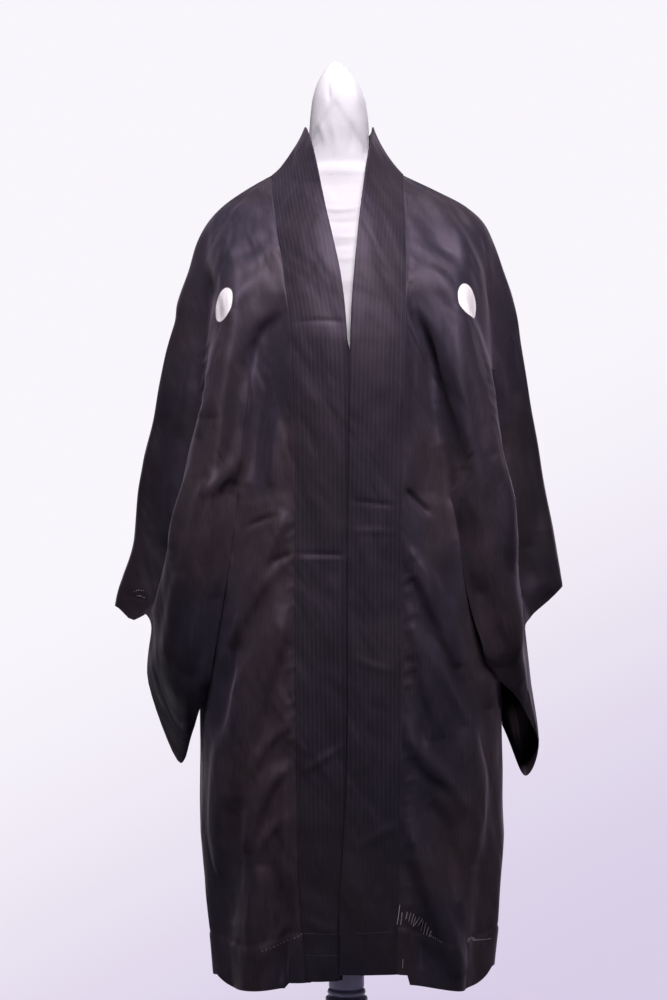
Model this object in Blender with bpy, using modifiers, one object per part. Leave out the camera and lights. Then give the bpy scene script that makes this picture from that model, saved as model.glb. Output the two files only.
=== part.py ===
"""Haori jacket hanging on a covered, limbless dress form with a turned post.

Frame: +Z up, the front faces -Y, the post stands on the origin. The wearer's right side is at -X.
Sizes in the tables are millimetres; every mesh is written in metres.

Each body half is one length of cloth, from the front hem over the shoulder to the back hem. It
is lofted through courses, level cuts across one side of the jacket. A course runs from the
collar seam over the chest to the shoulder fold and on round the back to the centre seam.
"""
import math
from collections import namedtuple

import bmesh
import bpy
import numpy as np

MM = 0.001
CLOTH_WALL = 1.4
COLLAR_WALL = 2.4
SEAM_GAP = 0.3
ARM_INSET, COLLAR_INSET = 0.8, 1.4   # how far edges draw back where walls meet at an angle
WELD_DISTANCE = 0.00001

RIGHT, LEFT = -1, 1
SIDE_NAMES = {RIGHT: "right", LEFT: "left"}

# ---------------------------------------------------------------- the jacket above the armhole end
# Stations of a course, in order from the collar seam to the centre back.
STATIONS = ("seam", "valley", "crest", "brow", "lip", "gap", "fold",
            "gap_back", "lip_back", "brow_back", "crest_back", "valley_back", "blade", "centre")
VALLEY, BROW, FOLD, BLADE, CENTRE = (STATIONS.index(name) for name in
                                     ("valley", "brow", "fold", "blade", "centre"))

# How far out from the middle each station lies.
Reach = namedtuple("Reach", "z seam valley crest lip gap fold")
REACH = {
    RIGHT: (
        Reach(1435, 91, 91, 91, 91, 92, 92),
        Reach(1420, 89, 96, 103, 109, 114, 118),
        Reach(1398, 87, 100, 118, 132, 142, 150),
        Reach(1376, 84, 104, 128, 148, 160, 170),
        Reach(1351, 80, 106, 135, 160, 167, 183),
        Reach(1320, 75, 100, 132, 164, 171, 192),
        Reach(1280, 70, 84, 128, 160, 168, 206),
        Reach(1231, 63, 97, 132, 161, 168, 216),
        Reach(1183, 62, 111, 140, 166, 168, 227),
        Reach(1133, 61, 117, 146, 176, 172, 237),
        Reach(1084, 60, 123, 153, 187, 175, 248),
        Reach(1050, 60, 128, 160, 196, 181, 255),
    ),
    LEFT: (
        Reach(1435, 69, 69, 69, 69, 70, 70),
        Reach(1420, 69, 77, 85, 91, 97, 101),
        Reach(1398, 69, 84, 108, 125, 135, 144),
        Reach(1376, 69, 92, 120, 142, 155, 168),
        Reach(1351, 69, 96, 128, 155, 163, 180),
        Reach(1320, 69, 95, 128, 161, 168, 191),
        Reach(1280, 69, 80, 124, 163, 170, 204),
        Reach(1231, 68, 93, 126, 164, 172, 212),
        Reach(1183, 67, 105, 135, 171, 173, 220),
        Reach(1133, 66, 109, 141, 177, 169, 228),
        Reach(1084, 65, 116, 150, 186, 174, 236),
        Reach(1050, 64, 121, 156, 191, 178, 243),
    ),
}
# How far forward of the shoulder plane each station lies, the same on both sides.
Front = namedtuple("Front", "seam valley crest lip gap")
FRONT = (
    Front(5, 4, 3, 1, 0),
    Front(24, 20, 15, 9, 5),
    Front(45, 41, 32, 19, 11),
    Front(62, 57, 46, 28, 19),
    Front(77, 74, 66, 40, 27),
    Front(98, 93, 88, 52, 33),
    Front(116, 112, 111, 62, 38),
    Front(134, 113, 127, 74, 41),
    Front(140, 112, 134, 88, 42),
    Front(142, 114, 138, 100, 43),
    Front(142, 116, 140, 104, 42),
    Front(142, 118, 141, 103, 40),
)
# How far behind it, with the middle seam's own place across.
Back = namedtuple("Back", "gap lip crest valley blade centre centre_x")
BACK = (
    Back(12, 22, 42, 60, 76, 84, -10),
    Back(14, 30, 50, 68, 82, 88, -9),
    Back(16, 38, 62, 82, 95, 98, -8),
    Back(22, 46, 72, 92, 104, 107, -7),
    Back(28, 54, 80, 99, 111, 114, -6),
    Back(32, 62, 88, 104, 118, 120, -5),
    Back(36, 72, 96, 108, 123, 126, -4),
    Back(38, 80, 106, 110, 127, 130, -3),
    Back(40, 86, 114, 110, 129, 132, -2),
    Back(40, 90, 120, 110, 130, 133, -1),
    Back(38, 90, 122, 111, 130, 134, 0),
    Back(36, 88, 122, 112, 130, 134, 0),
)
BROW_ACROSS, BROW_DEPTH = 0.55, 0.35
VALLEY_BACK_SHARE, BLADE_SHARE = 0.78, 0.42
ARM_TOP = 6                       # course of the armhole's upper end, on the shoulder fold
ARM_END = len(FRONT) - 1          # course of its lower ends, in the front and back valleys
ARM_CROSSINGS = (6.0, 5.45, 4.85, 3.1, 1.65, 1.0)   # station it crosses on each course between
NECK_COURSE = 1.1                 # course at which the neckline reaches the centre back

# ---------------------------------------------------------------- the sleeves below it
# Four courses of a sleeve bag, each from its front inner edge round the top fold to the back one.
Point = namedtuple("Point", "x y z")
SLEEVE_COURSES = {
    RIGHT: (
        (Point(134, -120, 993), Point(168, -138, 993), Point(192, -128, 993), Point(209, -98, 993),
         Point(193, -36, 993), Point(259, 0, 993), Point(194, 34, 993), Point(206, 82, 993),
         Point(186, 108, 993), Point(164, 118, 993), Point(132, 116, 993)),
        (Point(143, -119, 935), Point(178, -130, 930), Point(204, -114, 935), Point(221, -84, 943),
         Point(210, -34, 948), Point(272, 0, 950), Point(208, 32, 948), Point(216, 72, 943),
         Point(202, 98, 935), Point(176, 112, 930), Point(150, 112, 935)),
        (Point(160, -106, 845), Point(190, -108, 820), Point(222, -86, 882), Point(230, -66, 912),
         Point(230, -32, 922), Point(278, 0, 930), Point(228, 30, 922), Point(226, 40, 912),
         Point(216, 66, 882), Point(196, 88, 830), Point(186, 84, 860)),
        (Point(182, -52, 770), Point(201, -16, 723), Point(240, -34, 832), Point(234, -50, 886),
         Point(243, -28, 903), Point(282, 0, 911), Point(242, 28, 903), Point(234, 14, 886),
         Point(240, -26, 832), Point(202, -8, 723), Point(188, -44, 771)),
    ),
    LEFT: (
        (Point(131, -121, 993), Point(162, -138, 993), Point(184, -128, 993), Point(198, -98, 993),
         Point(184, -36, 993), Point(252, 0, 993), Point(185, 34, 993), Point(196, 82, 993),
         Point(180, 108, 993), Point(160, 118, 993), Point(130, 117, 993)),
        (Point(139, -124, 938), Point(170, -132, 935), Point(192, -114, 940), Point(205, -84, 945),
         Point(196, -34, 950), Point(259, 0, 957), Point(195, 32, 950), Point(202, 70, 945),
         Point(190, 98, 940), Point(170, 112, 935), Point(148, 114, 938)),
        (Point(155, -119, 878), Point(186, -112, 866), Point(208, -86, 862), Point(210, -64, 912),
         Point(213, -32, 924), Point(261, 0, 945), Point(211, 30, 924), Point(207, 40, 912),
         Point(210, 64, 862), Point(204, 84, 830), Point(196, 84, 860)),
        (Point(168, -100, 840), Point(204, -66, 803), Point(232, -12, 752), Point(214, -46, 886),
         Point(223, -26, 900), Point(263, 0, 935), Point(221, 28, 900), Point(215, 14, 886),
         Point(234, -4, 748), Point(218, -2, 704), Point(197, 8, 765)),
    ),
}
# The stations between which each bag's bottom is sewn up; the open cuff follows on.
SEWN_FROM = {RIGHT: VALLEY, LEFT: BROW}
SEWN_TO = {RIGHT: BROW, LEFT: BROW + 0.6}

# ---------------------------------------------------------------- the body below the armhole end
Skirt = namedtuple("Skirt", "z seam_right side_right seam_left side_left front back side_front"
                            " side_back centre_x")
SKIRT = (
    Skirt(1050, 60, 172, 64, 180, -142, 134, -20, 0, 0),
    Skirt(910, 60, 173, 63, 181, -143, 135, -20, 1, 0),
    Skirt(720, 58, 176, 63, 185, -145, 137, -27, 11, 3),
    Skirt(640, 57, 175, 62, 185, -146, 139, -30, 15, 4),
    Skirt(570, 54, 169, 60, 181, -147, 141, -33, 19, 5),
    Skirt(520, 49, 163, 58, 178, -148, 142, -35, 22, 6),
    Skirt(460, 46, 155, 57, 172, -148, 143, -38, 25, 6),
)
SLIT_TOP, GUSSET_TOP = 1050, 910
SLIT_TURN, SLIT_LAG = 2.0, 1.3    # the open side turns back quickly, then spreads out
SEAM_SQUARE, SIDE_SQUARE = 0.8, 0.9
# Hem heights at the collar seam, the middle of the panel and the side.
Hem = namedtuple("Hem", "inner middle side")
FRONT_HEM = {RIGHT: Hem(476, 469, 461), LEFT: Hem(481, 470, 470)}
BACK_HEM = {RIGHT: Hem(466, 467, 461), LEFT: Hem(466, 467, 470)}
# Hanging folds: where across the panel (0 inner, 1 side), how wide, how deep, and where they start.
Flute = namedtuple("Flute", "across width depth top")
FRONT_FLUTES = {
    RIGHT: (Flute(0.16, 0.07, -5, 800), Flute(0.34, 0.12, 6, 860), Flute(0.62, 0.13, -8, 820),
            Flute(0.84, 0.10, 5, 760)),
    LEFT: (Flute(0.14, 0.08, -4, 760), Flute(0.36, 0.10, 6, 740), Flute(0.60, 0.12, -8, 900),
           Flute(0.82, 0.10, 6, 820)),
}
BACK_FLUTES = {
    RIGHT: (Flute(0.20, 0.08, 10, 960), Flute(0.38, 0.09, -12, 900), Flute(0.58, 0.09, 13, 980),
            Flute(0.80, 0.09, -11, 860)),
    LEFT: (Flute(0.18, 0.07, -9, 920), Flute(0.34, 0.08, 12, 940), Flute(0.56, 0.10, -12, 860),
           Flute(0.76, 0.09, 12, 960)),
}

# ---------------------------------------------------------------- the collar band
# Its free folded edge: the height of the collar seam beside it, then its own place.
Edge = namedtuple("Edge", "seam_z x y z")
COLLAR_FRONT = {
    RIGHT: (
        Edge(484, -8, -143, 484), Edge(560, -6, -143, 560), Edge(640, -3, -143, 640),
        Edge(720, -1, -144, 720), Edge(800, -1, -145, 800), Edge(900, -1, -146, 900),
        Edge(1000, -0.5, -146, 1000), Edge(1100, 0, -146, 1100), Edge(1190, 1, -146, 1190),
        Edge(1225, 0.5, -145, 1222), Edge(1256, -2, -138, 1262), Edge(1288, -7, -126, 1303),
        Edge(1326, -17, -104, 1352), Edge(1362, -27, -78, 1398), Edge(1398, -36, -53, 1442),
        Edge(1422, -43, -28, 1474), Edge(1435, -49.5, 4, 1495),
    ),
    LEFT: (
        Edge(492, -9, -151, 492), Edge(560, -9.5, -151, 560), Edge(640, -5, -150, 640),
        Edge(720, -1, -149, 720), Edge(800, 0.5, -148, 800), Edge(900, 0.7, -147, 900),
        Edge(1000, 1, -147, 1000), Edge(1100, 1.5, -147, 1100), Edge(1190, 2.5, -147, 1190),
        Edge(1225, 3, -145, 1222), Edge(1256, 4.5, -138, 1262), Edge(1288, 7.5, -126, 1303),
        Edge(1326, 12, -104, 1352), Edge(1362, 17, -78, 1398), Edge(1398, 23, -53, 1442),
        Edge(1422, 29, -28, 1474), Edge(1435, 31.5, 4, 1495),
    ),
}
# Round the back of the neck, by the course at which the neckline lies beside it.
NeckEdge = namedtuple("NeckEdge", "course x y z")
COLLAR_NECK = {
    RIGHT: (NeckEdge(0.20, -49, 17, 1492), NeckEdge(0.45, -45.5, 32, 1488.5),
            NeckEdge(0.75, -36, 52, 1482.5), NeckEdge(1.10, -10, 65, 1478)),
    LEFT: (NeckEdge(0.20, 31, 17, 1492), NeckEdge(0.45, 27.5, 32, 1488.5),
           NeckEdge(0.75, 17, 52, 1482.5), NeckEdge(1.10, -10, 65, 1478)),
}
COLLAR_ROLL = 3.0                 # how far the band bows off a straight line across it

# ---------------------------------------------------------------- the dress form and its stand
Ring = namedtuple("Ring", "z half front back x square", defaults=(2.0,))
TORSO_RINGS = (
    Ring(720, 148, 104, 104, 0), Ring(735, 154, 110, 110, 0), Ring(790, 159, 112, 112, 0),
    Ring(860, 157, 111, 111, 0), Ring(950, 138, 98, 96, 0), Ring(1040, 120, 92, 90, 0),
    Ring(1120, 128, 106, 94, 0), Ring(1195, 138, 126, 100, 0), Ring(1240, 146, 125, 105, 0),
    Ring(1280, 152, 114, 107, 0), Ring(1320, 158, 96, 104, -1), Ring(1352, 160, 78, 98, -2),
    Ring(1376, 159, 61, 88, -3, 1.8), Ring(1398, 142, 48, 76, -5, 1.6),
    Ring(1411, 121, 40, 64, -6, 1.5), Ring(1421, 100, 35, 57, -9, 1.5),
    Ring(1431, 68, 32, 50, -10, 1.6), Ring(1436, 50, 31, 46, -10, 2.0),
)
NECK_RINGS = (
    Ring(1436.4, 49, 30, 45, -10), Ring(1450, 42, 30, 42, -10), Ring(1470, 37, 30, 39, -9.5),
    Ring(1495, 36, 31, 37, -9), Ring(1525, 32.5, 29, 31, -9.5), Ring(1548, 24.5, 22, 23, -11),
    Ring(1563, 15, 14, 14, -12), Ring(1571, 7, 7, 7, -13), Ring(1574, 1.5, 1.5, 1.5, -13),
)
FORM_SIDES = 28

TurnedPoint = namedtuple("TurnedPoint", "r z")
POST_TOP, POST_RADIUS = 719.6, 21.5
POST_PROFILE = (
    TurnedPoint(0, POST_TOP), TurnedPoint(POST_RADIUS, POST_TOP), TurnedPoint(POST_RADIUS, 448),
    TurnedPoint(19.5, 446), TurnedPoint(22.5, 444), TurnedPoint(23.3, 441.5), TurnedPoint(22.5, 439),
    TurnedPoint(20.5, 437), TurnedPoint(25.0, 435), TurnedPoint(25.8, 432.5), TurnedPoint(24.5, 428),
    TurnedPoint(21.0, 400), TurnedPoint(20.0, 300), TurnedPoint(24.0, 150), TurnedPoint(29.0, 80),
    TurnedPoint(31.0, 40), TurnedPoint(31.0, 30.3), TurnedPoint(0, 30.3),
)
BASE_PROFILE = (
    TurnedPoint(0, 30), TurnedPoint(60, 30), TurnedPoint(100, 26), TurnedPoint(160, 20),
    TurnedPoint(172, 17), TurnedPoint(176, 11), TurnedPoint(175, 3), TurnedPoint(170, 0),
    TurnedPoint(0, 0),
)
TURNED_STEPS = 24
AXIS_WELD = 0.1                   # how close to the axis a turned point joins the others there

# ---------------------------------------------------------------- how finely the walls are divided
UPPER_COURSES = (0, 0.2, 0.45, 0.75, 1.1, 1.6, 2, 2.5, 3, 3.5, 4, 5, 5.5, 6)
ARM_COURSES = (6.12, 6.3, 6.6, 7, 7.25, 7.5, 7.75, 8, 8.25, 8.5, 9, 9.5, 10, 10.5, 11)
SKIRT_ROWS = (0.03, 0.07, 0.12, 0.18, 0.25, 0.33, 0.44, 0.56, 0.68, 0.8, 0.9, 1)
BODY_COLUMNS = 7
SLEEVE_COLUMNS = 10
SLEEVE_COURSES_BELOW = (11.5, 12, 12.5, 13, 13.5, 14, 14.5, 15)
GUSSET_COLUMNS = 2
COLLAR_COLUMNS = 2
COLLAR_STEPS = 1.0


# ---------------------------------------------------------------- curves and courses
def smooth(values, at):
    """Read a monotone cubic through rows of values, spaced 1 apart, at one or more places."""
    values = np.asarray(values, float)
    at = np.atleast_1d(np.asarray(at, float))
    steps = np.diff(values, axis=0)
    slopes = np.zeros_like(values)
    before, after = steps[:-1], steps[1:]
    agree = before * after > 0
    total = np.where(agree, before + after, 1)
    slopes[1:-1] = np.where(agree, 2 * before * after / total, 0)
    slopes[0], slopes[-1] = steps[0], steps[-1]
    low = np.clip(np.floor(at).astype(int), 0, len(values) - 2)
    t = (at - low).reshape((-1,) + (1,) * (values.ndim - 1))
    return ((2 * t**3 - 3 * t**2 + 1) * values[low] + (t**3 - 2 * t**2 + t) * slopes[low]
            + (3 * t**2 - 2 * t**3) * values[low + 1] + (t**3 - t**2) * slopes[low + 1])


def read_table(rows, column, z):
    """Read one column of a table of rows that go down in height, straight between rows."""
    heights = [row.z for row in reversed(rows)]
    return float(np.interp(z, heights, [getattr(row, column) for row in reversed(rows)]))


def ease(t):
    """Go from 0 to 1 with soft ends."""
    t = min(max(t, 0.0), 1.0)
    return t * t * (3 - 2 * t)


def upper_course(side, index):
    """List the stations of one course above the armhole's end, as reach, depth and height."""
    reach, front, back = REACH[side][index], FRONT[index], BACK[index]
    brow = reach.crest + BROW_ACROSS * (reach.lip - reach.crest)
    brow_depth = front.crest + BROW_DEPTH * (front.lip - front.crest)
    brow_back = back.crest + BROW_DEPTH * (back.lip - back.crest)
    places = (
        (reach.seam, -front.seam), (reach.valley, -front.valley), (reach.crest, -front.crest),
        (brow, -brow_depth), (reach.lip, -front.lip), (reach.gap, -front.gap), (reach.fold, 0),
        (reach.gap, back.gap), (reach.lip, back.lip), (brow, brow_back),
        (reach.crest, back.crest), (reach.crest * VALLEY_BACK_SHARE, back.valley),
        (reach.crest * BLADE_SHARE, back.blade), (side * back.centre_x, back.centre))
    return [(x, y, reach.z) for x, y in places]


def side_courses(side):
    """Stack every course of one side, from the neck point down to the sleeve's bottom."""
    courses = [upper_course(side, index) for index in range(len(FRONT))]
    seam, blade, centre = (courses[-1][station] for station in (0, BLADE, CENTRE))
    for sleeve in SLEEVE_COURSES[side]:
        courses.append([seam] + [tuple(point) for point in sleeve] + [blade, centre])
    return np.array(courses, float)


COURSES = {side: side_courses(side) for side in (RIGHT, LEFT)}


def hull(side, stations, course):
    """Find the points at the given stations of a course, as reach, depth and height."""
    return smooth(smooth(COURSES[side], course)[0], stations)


def arm_stations(course):
    """Find where the armhole seam crosses a course, in front and behind."""
    crossing = smooth([[station] for station in ARM_CROSSINGS], min(max(course, ARM_TOP), ARM_END)
                      - ARM_TOP)[0][0]
    return float(crossing), float(2 * FOLD - crossing)


def neck_station(course):
    """Find where the neckline crosses a course behind the shoulder fold."""
    return FOLD + (CENTRE - FOLD) * min(course / NECK_COURSE, 1.0)


# ---------------------------------------------------------------- the panels' middle surfaces
def front_course_row(side, course, columns):
    """Lay one row of the front body panel along a course."""
    armhole, _ = arm_stations(course)
    return hull(side, armhole * np.linspace(0, 1, columns + 1), course)


def back_course_row(side, course, columns):
    """Lay one row of the back body panel along a course, from its inner edge outwards."""
    _, armhole = arm_stations(course)
    inner = neck_station(course)
    return hull(side, inner + (armhole - inner) * np.linspace(0, 1, columns + 1), course)


def flute_depth(flutes, across, z, hem):
    """Add up the hanging folds at one place on a panel."""
    depth = 0.0
    for flute in flutes:
        strength = ease((flute.top - z) / (flute.top - hem))
        depth += flute.depth * strength * math.exp(-((across - flute.across) / flute.width) ** 2)
    return depth


def skirt_point(side, front, across, z):
    """Find a point of the body below the armhole, before it is eased into the course above."""
    name = SIDE_NAMES[side]
    edge = read_table(SKIRT, "side_" + name, z)
    if front:
        inner = read_table(SKIRT, "seam_" + name, z)
        face, turn = read_table(SKIRT, "front", z), read_table(SKIRT, "side_front", z)
        flutes = FRONT_FLUTES[side]
    else:
        inner = side * read_table(SKIRT, "centre_x", z)
        face, turn = read_table(SKIRT, "back", z), read_table(SKIRT, "side_back", z)
        flutes = BACK_FLUTES[side]
    angle = across * math.pi / 2
    x = inner + (edge - inner) * math.sin(angle) ** SIDE_SQUARE
    y = turn + (face - turn) * max(math.cos(angle), 0.0) ** SEAM_SQUARE
    outward = np.array([x / edge, y / abs(face)])
    outward /= np.linalg.norm(outward)
    x, y = np.array([x, y]) + outward * flute_depth(flutes, across, z, SKIRT[-1].z)
    return x, y


def skirt_row(side, front, down, columns):
    """Lay one row of the body below the armhole, at a share of the way down to the hem."""
    last = (front_course_row if front else back_course_row)(side, ARM_END, columns)
    hem = (FRONT_HEM if front else BACK_HEM)[side]
    row = []
    for start, across in zip(last, np.linspace(0, 1, columns + 1)):
        bottom = smooth([[hem.inner], [hem.middle], [hem.side]], 2 * across)[0][0]
        z = SLIT_TOP + (bottom - SLIT_TOP) * down
        x, y = skirt_point(side, front, across, z)
        left = max(1 - (SLIT_TOP - z) / (SLIT_TOP - GUSSET_TOP), 0.0)
        turned = 1 - left ** SLIT_TURN
        row.append((start[0] + (x - start[0]) * turned ** SLIT_LAG,
                    start[1] + (y - start[1]) * turned, z))
    return np.array(row)


def body_grids(side, columns):
    """Lay the front and back of one body half, joined along the shoulder fold."""
    courses = UPPER_COURSES + ARM_COURSES
    front = [front_course_row(side, course, columns) for course in courses]
    back = [back_course_row(side, course, columns) for course in courses]
    front += [skirt_row(side, True, down, columns) for down in SKIRT_ROWS]
    back += [skirt_row(side, False, down, columns) for down in SKIRT_ROWS]
    front, back = np.array(front), np.array(back)
    armhole_rows = slice(len(UPPER_COURSES), None)
    neck_rows = slice(len([course for course in courses if course <= NECK_COURSE]))
    for grid in (front, back):
        inset(grid, 0, 1)
        inset(grid[neck_rows], 0, 1, ARM_INSET)
        inset(grid.swapaxes(0, 1), 0, 1, COLLAR_INSET)
        inset(grid[armhole_rows], -1, -2, ARM_INSET)
    return front, back


def sleeve_grid(side, columns):
    """Lay one sleeve bag, from its front inner edge round the top fold to the back one."""
    half = np.linspace(0, 1, columns + 1)
    rows = []
    for course in ARM_COURSES + SLEEVE_COURSES_BELOW:
        front, back = arm_stations(course)
        stations = np.concatenate([front + (FOLD - front) * half,
                                   back + (FOLD - back) * half[-2::-1]])
        rows.append(hull(side, stations, course))
    grid = np.array(rows)
    inset(grid, 0, 1, ARM_INSET)
    inset(grid, -1, -2, ARM_INSET)
    return grid


def gusset_grid(side, columns):
    """Lay the narrow wedge between the front and back side seams."""
    rows = []
    downs = [down for down in SKIRT_ROWS
             if SLIT_TOP - (SLIT_TOP - FRONT_HEM[side].side) * down < GUSSET_TOP]
    for down in downs:
        front = skirt_row(side, True, down, BODY_COLUMNS)[-1]
        back = skirt_row(side, False, down, BODY_COLUMNS)[-1]
        rows.append([front + (back - front) * share for share in np.linspace(0, 1, columns + 1)])
    grid = np.array(rows)
    inset(grid, 0, 1)
    inset(grid, -1, -2)
    return grid


def collar_edges(side):
    """Pair the points of the collar seam with those of the band's free edge, hem to centre back."""
    seams, edges = [], []
    heights = COURSES[side][:ARM_END + 1, 0, 2]
    for edge in COLLAR_FRONT[side]:
        if edge.seam_z < SLIT_TOP:
            x, y = skirt_point(side, True, 0.0, edge.seam_z)
            seams.append((x, y, edge.seam_z))
        else:
            course = float(np.interp(-edge.seam_z, -heights, np.arange(ARM_END + 1)))
            seams.append(tuple(hull(side, 0, course)[0]))
        edges.append((side * edge.x, edge.y, edge.z))
    for edge in COLLAR_NECK[side]:
        seams.append(tuple(hull(side, neck_station(edge.course), edge.course)[0]))
        edges.append((side * edge.x, edge.y, edge.z))
    return np.array(seams), np.array(edges)


def collar_grid(side, columns, step):
    """Lay the collar band between the collar seam and its free edge."""
    seams, edges = collar_edges(side)
    places = np.arange(0, len(seams) - 1 + step / 2, step)
    seams, edges = smooth(seams, places), smooth(edges, places)
    grid = np.array([[seam + (edge - seam) * share for share in np.linspace(0, 1, columns + 1)]
                     for seam, edge in zip(seams, edges)])
    grid[:, 1:-1, 1] -= COLLAR_ROLL * np.where(places < len(COLLAR_FRONT[side]), 1, -1)[:, None]
    inset(grid, 0, 1, COLLAR_INSET)
    inset(grid.swapaxes(0, 1), -1, -2, COLLAR_INSET)
    return grid


def inset(grid, edge, inner, distance=SEAM_GAP / 2):
    """Pull one edge column of a grid towards the next."""
    steps = grid[:, inner] - grid[:, edge]
    lengths = np.maximum(np.linalg.norm(steps, axis=-1, keepdims=True), 1e-6)
    grid[:, edge] += steps / lengths * np.minimum(distance, lengths / 3)


# ---------------------------------------------------------------- making objects
def new_material(name, colour, roughness):
    """Make a plain Principled material."""
    material = bpy.data.materials.new(name)
    material.use_nodes = True
    shader = material.node_tree.nodes["Principled BSDF"]
    shader.inputs["Base Color"].default_value = (*colour, 1.0)
    shader.inputs["Roughness"].default_value = roughness
    material.diffuse_color = (*colour, 1.0)
    return material


def place(point, side):
    """Turn a point given as reach, depth and height into world metres."""
    return side * point[0] * MM, point[1] * MM, point[2] * MM


def add_grid(bm, grid, side):
    """Add one grid of points to a mesh as quads and return its vertices."""
    verts = [[bm.verts.new(place(point, side)) for point in row] for row in grid]
    for upper, lower in zip(verts, verts[1:]):
        for column in range(len(upper) - 1):
            bm.faces.new((upper[column], upper[column + 1], lower[column + 1], lower[column]))
    return verts


def finish_sheet(bm, name, wall, material, collection):
    """Weld a sheet, turn its faces one way, and give it its thickness."""
    bmesh.ops.remove_doubles(bm, verts=bm.verts, dist=WELD_DISTANCE)
    bmesh.ops.recalc_face_normals(bm, faces=bm.faces)
    mesh = bpy.data.meshes.new(name)
    bm.to_mesh(mesh)
    bm.free()
    mesh.materials.append(material)
    mesh.shade_smooth()
    sheet = bpy.data.objects.new(name, mesh)
    collection.objects.link(sheet)
    thickness = sheet.modifiers.new("Thickness", "SOLIDIFY")
    thickness.thickness = wall * MM
    thickness.offset = 0.0
    return sheet


def make_body(side, material, collection):
    """Make one body length, front hem to back hem over the shoulder."""
    bm = bmesh.new()
    front, back = body_grids(side, BODY_COLUMNS)
    add_grid(bm, front, side)
    add_grid(bm, back, side)
    return finish_sheet(bm, "body_" + SIDE_NAMES[side], CLOTH_WALL, material, collection)


def make_sleeve(side, material, collection):
    """Make one sleeve bag, with its bottom sewn up below the cuff."""
    bm = bmesh.new()
    verts = add_grid(bm, sleeve_grid(side, SLEEVE_COLUMNS), side)
    per_station = SLEEVE_COLUMNS / (FOLD - VALLEY)
    first = round((SEWN_FROM[side] - VALLEY) * per_station)
    last = round((SEWN_TO[side] - VALLEY) * per_station)
    bottom = verts[-1]
    for column in range(first, last):
        bm.faces.new((bottom[column], bottom[column + 1], bottom[-2 - column], bottom[-1 - column]))
    return finish_sheet(bm, "sleeve_" + SIDE_NAMES[side], CLOTH_WALL, material, collection)


def make_gusset(side, material, collection):
    """Make one side gusset."""
    bm = bmesh.new()
    add_grid(bm, gusset_grid(side, GUSSET_COLUMNS), side)
    return finish_sheet(bm, "gusset_" + SIDE_NAMES[side], CLOTH_WALL, material, collection)


def make_collar(side, material, collection):
    """Make one run of the collar band, hem to centre back."""
    bm = bmesh.new()
    add_grid(bm, collar_grid(side, COLLAR_COLUMNS, COLLAR_STEPS), side)
    return finish_sheet(bm, "collar_" + SIDE_NAMES[side], COLLAR_WALL, material, collection)


def ring_points(ring, sides):
    """Walk round one level ring of the dress form."""
    points = []
    for index in range(sides):
        angle = 2 * math.pi * index / sides
        across, along = math.cos(angle), math.sin(angle)
        depth = ring.back if along > 0 else ring.front
        x = ring.x + ring.half * math.copysign(abs(across) ** (2 / ring.square), across)
        y = depth * math.copysign(abs(along) ** (2 / ring.square), along)
        points.append((x * MM, y * MM, ring.z * MM))
    return points


def make_loft(name, rings, material, collection):
    """Loft a closed solid through level rings."""
    bm = bmesh.new()
    loops = [[bm.verts.new(point) for point in ring_points(ring, FORM_SIDES)] for ring in rings]
    for lower, upper in zip(loops, loops[1:]):
        for index in range(FORM_SIDES):
            after = (index + 1) % FORM_SIDES
            bm.faces.new((lower[index], lower[after], upper[after], upper[index]))
    bm.faces.new(loops[0][::-1])
    bm.faces.new(loops[-1])
    mesh = bpy.data.meshes.new(name)
    bm.to_mesh(mesh)
    bm.free()
    mesh.materials.append(material)
    mesh.shade_smooth()
    solid = bpy.data.objects.new(name, mesh)
    collection.objects.link(solid)
    return solid


def make_turned(name, profile, material, collection):
    """Turn a profile round the upright axis."""
    mesh = bpy.data.meshes.new(name)
    points = [(point.r * MM, 0, point.z * MM) for point in profile]
    mesh.from_pydata(points, [(i, i + 1) for i in range(len(points) - 1)], [])
    mesh.materials.append(material)
    turned = bpy.data.objects.new(name, mesh)
    collection.objects.link(turned)
    screw = turned.modifiers.new("Turning", "SCREW")
    screw.steps = screw.render_steps = TURNED_STEPS
    screw.use_merge_vertices = True
    screw.merge_threshold = AXIS_WELD * MM
    return turned


def clear_scene():
    """Remove what the scene already holds."""
    for item in list(bpy.data.objects):
        bpy.data.objects.remove(item, do_unlink=True)


def main():
    """Build the haori, the dress form and its stand."""
    clear_scene()
    collection = bpy.data.collections.new("haori_on_dress_form")
    bpy.context.scene.collection.children.link(collection)
    silk = new_material("haori_silk", (0.020, 0.014, 0.022), 0.55)
    band = new_material("collar_silk", (0.022, 0.017, 0.028), 0.60)
    cover = new_material("cover_cotton", (0.80, 0.78, 0.84), 0.85)
    paint = new_material("stand_paint", (0.22, 0.21, 0.27), 0.50)
    for side in (RIGHT, LEFT):
        make_body(side, silk, collection)
        make_sleeve(side, silk, collection)
        make_gusset(side, silk, collection)
        make_collar(side, band, collection)
    make_loft("form_torso", TORSO_RINGS, cover, collection)
    make_loft("form_neck", NECK_RINGS, cover, collection)
    make_turned("stand_post", POST_PROFILE, paint, collection)
    make_turned("stand_base", BASE_PROFILE, paint, collection)


main()
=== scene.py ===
"""Looks of a black silk haori hanging on a covered dress form with a turned stand.

Sizes are millimetres in the tables and metres in every mesh. +Z is up, the open front faces -Y
and the wearer's right side is at -X. Each half of the jacket is a stack of courses, level cuts
whose stations run from the collar seam over the chest to the shoulder fold and round the back.
"""
from __future__ import annotations

import logging
import math
from dataclasses import dataclass, field
from enum import Enum
from typing import Any, Callable, NamedTuple, Sequence, TypeVar

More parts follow.
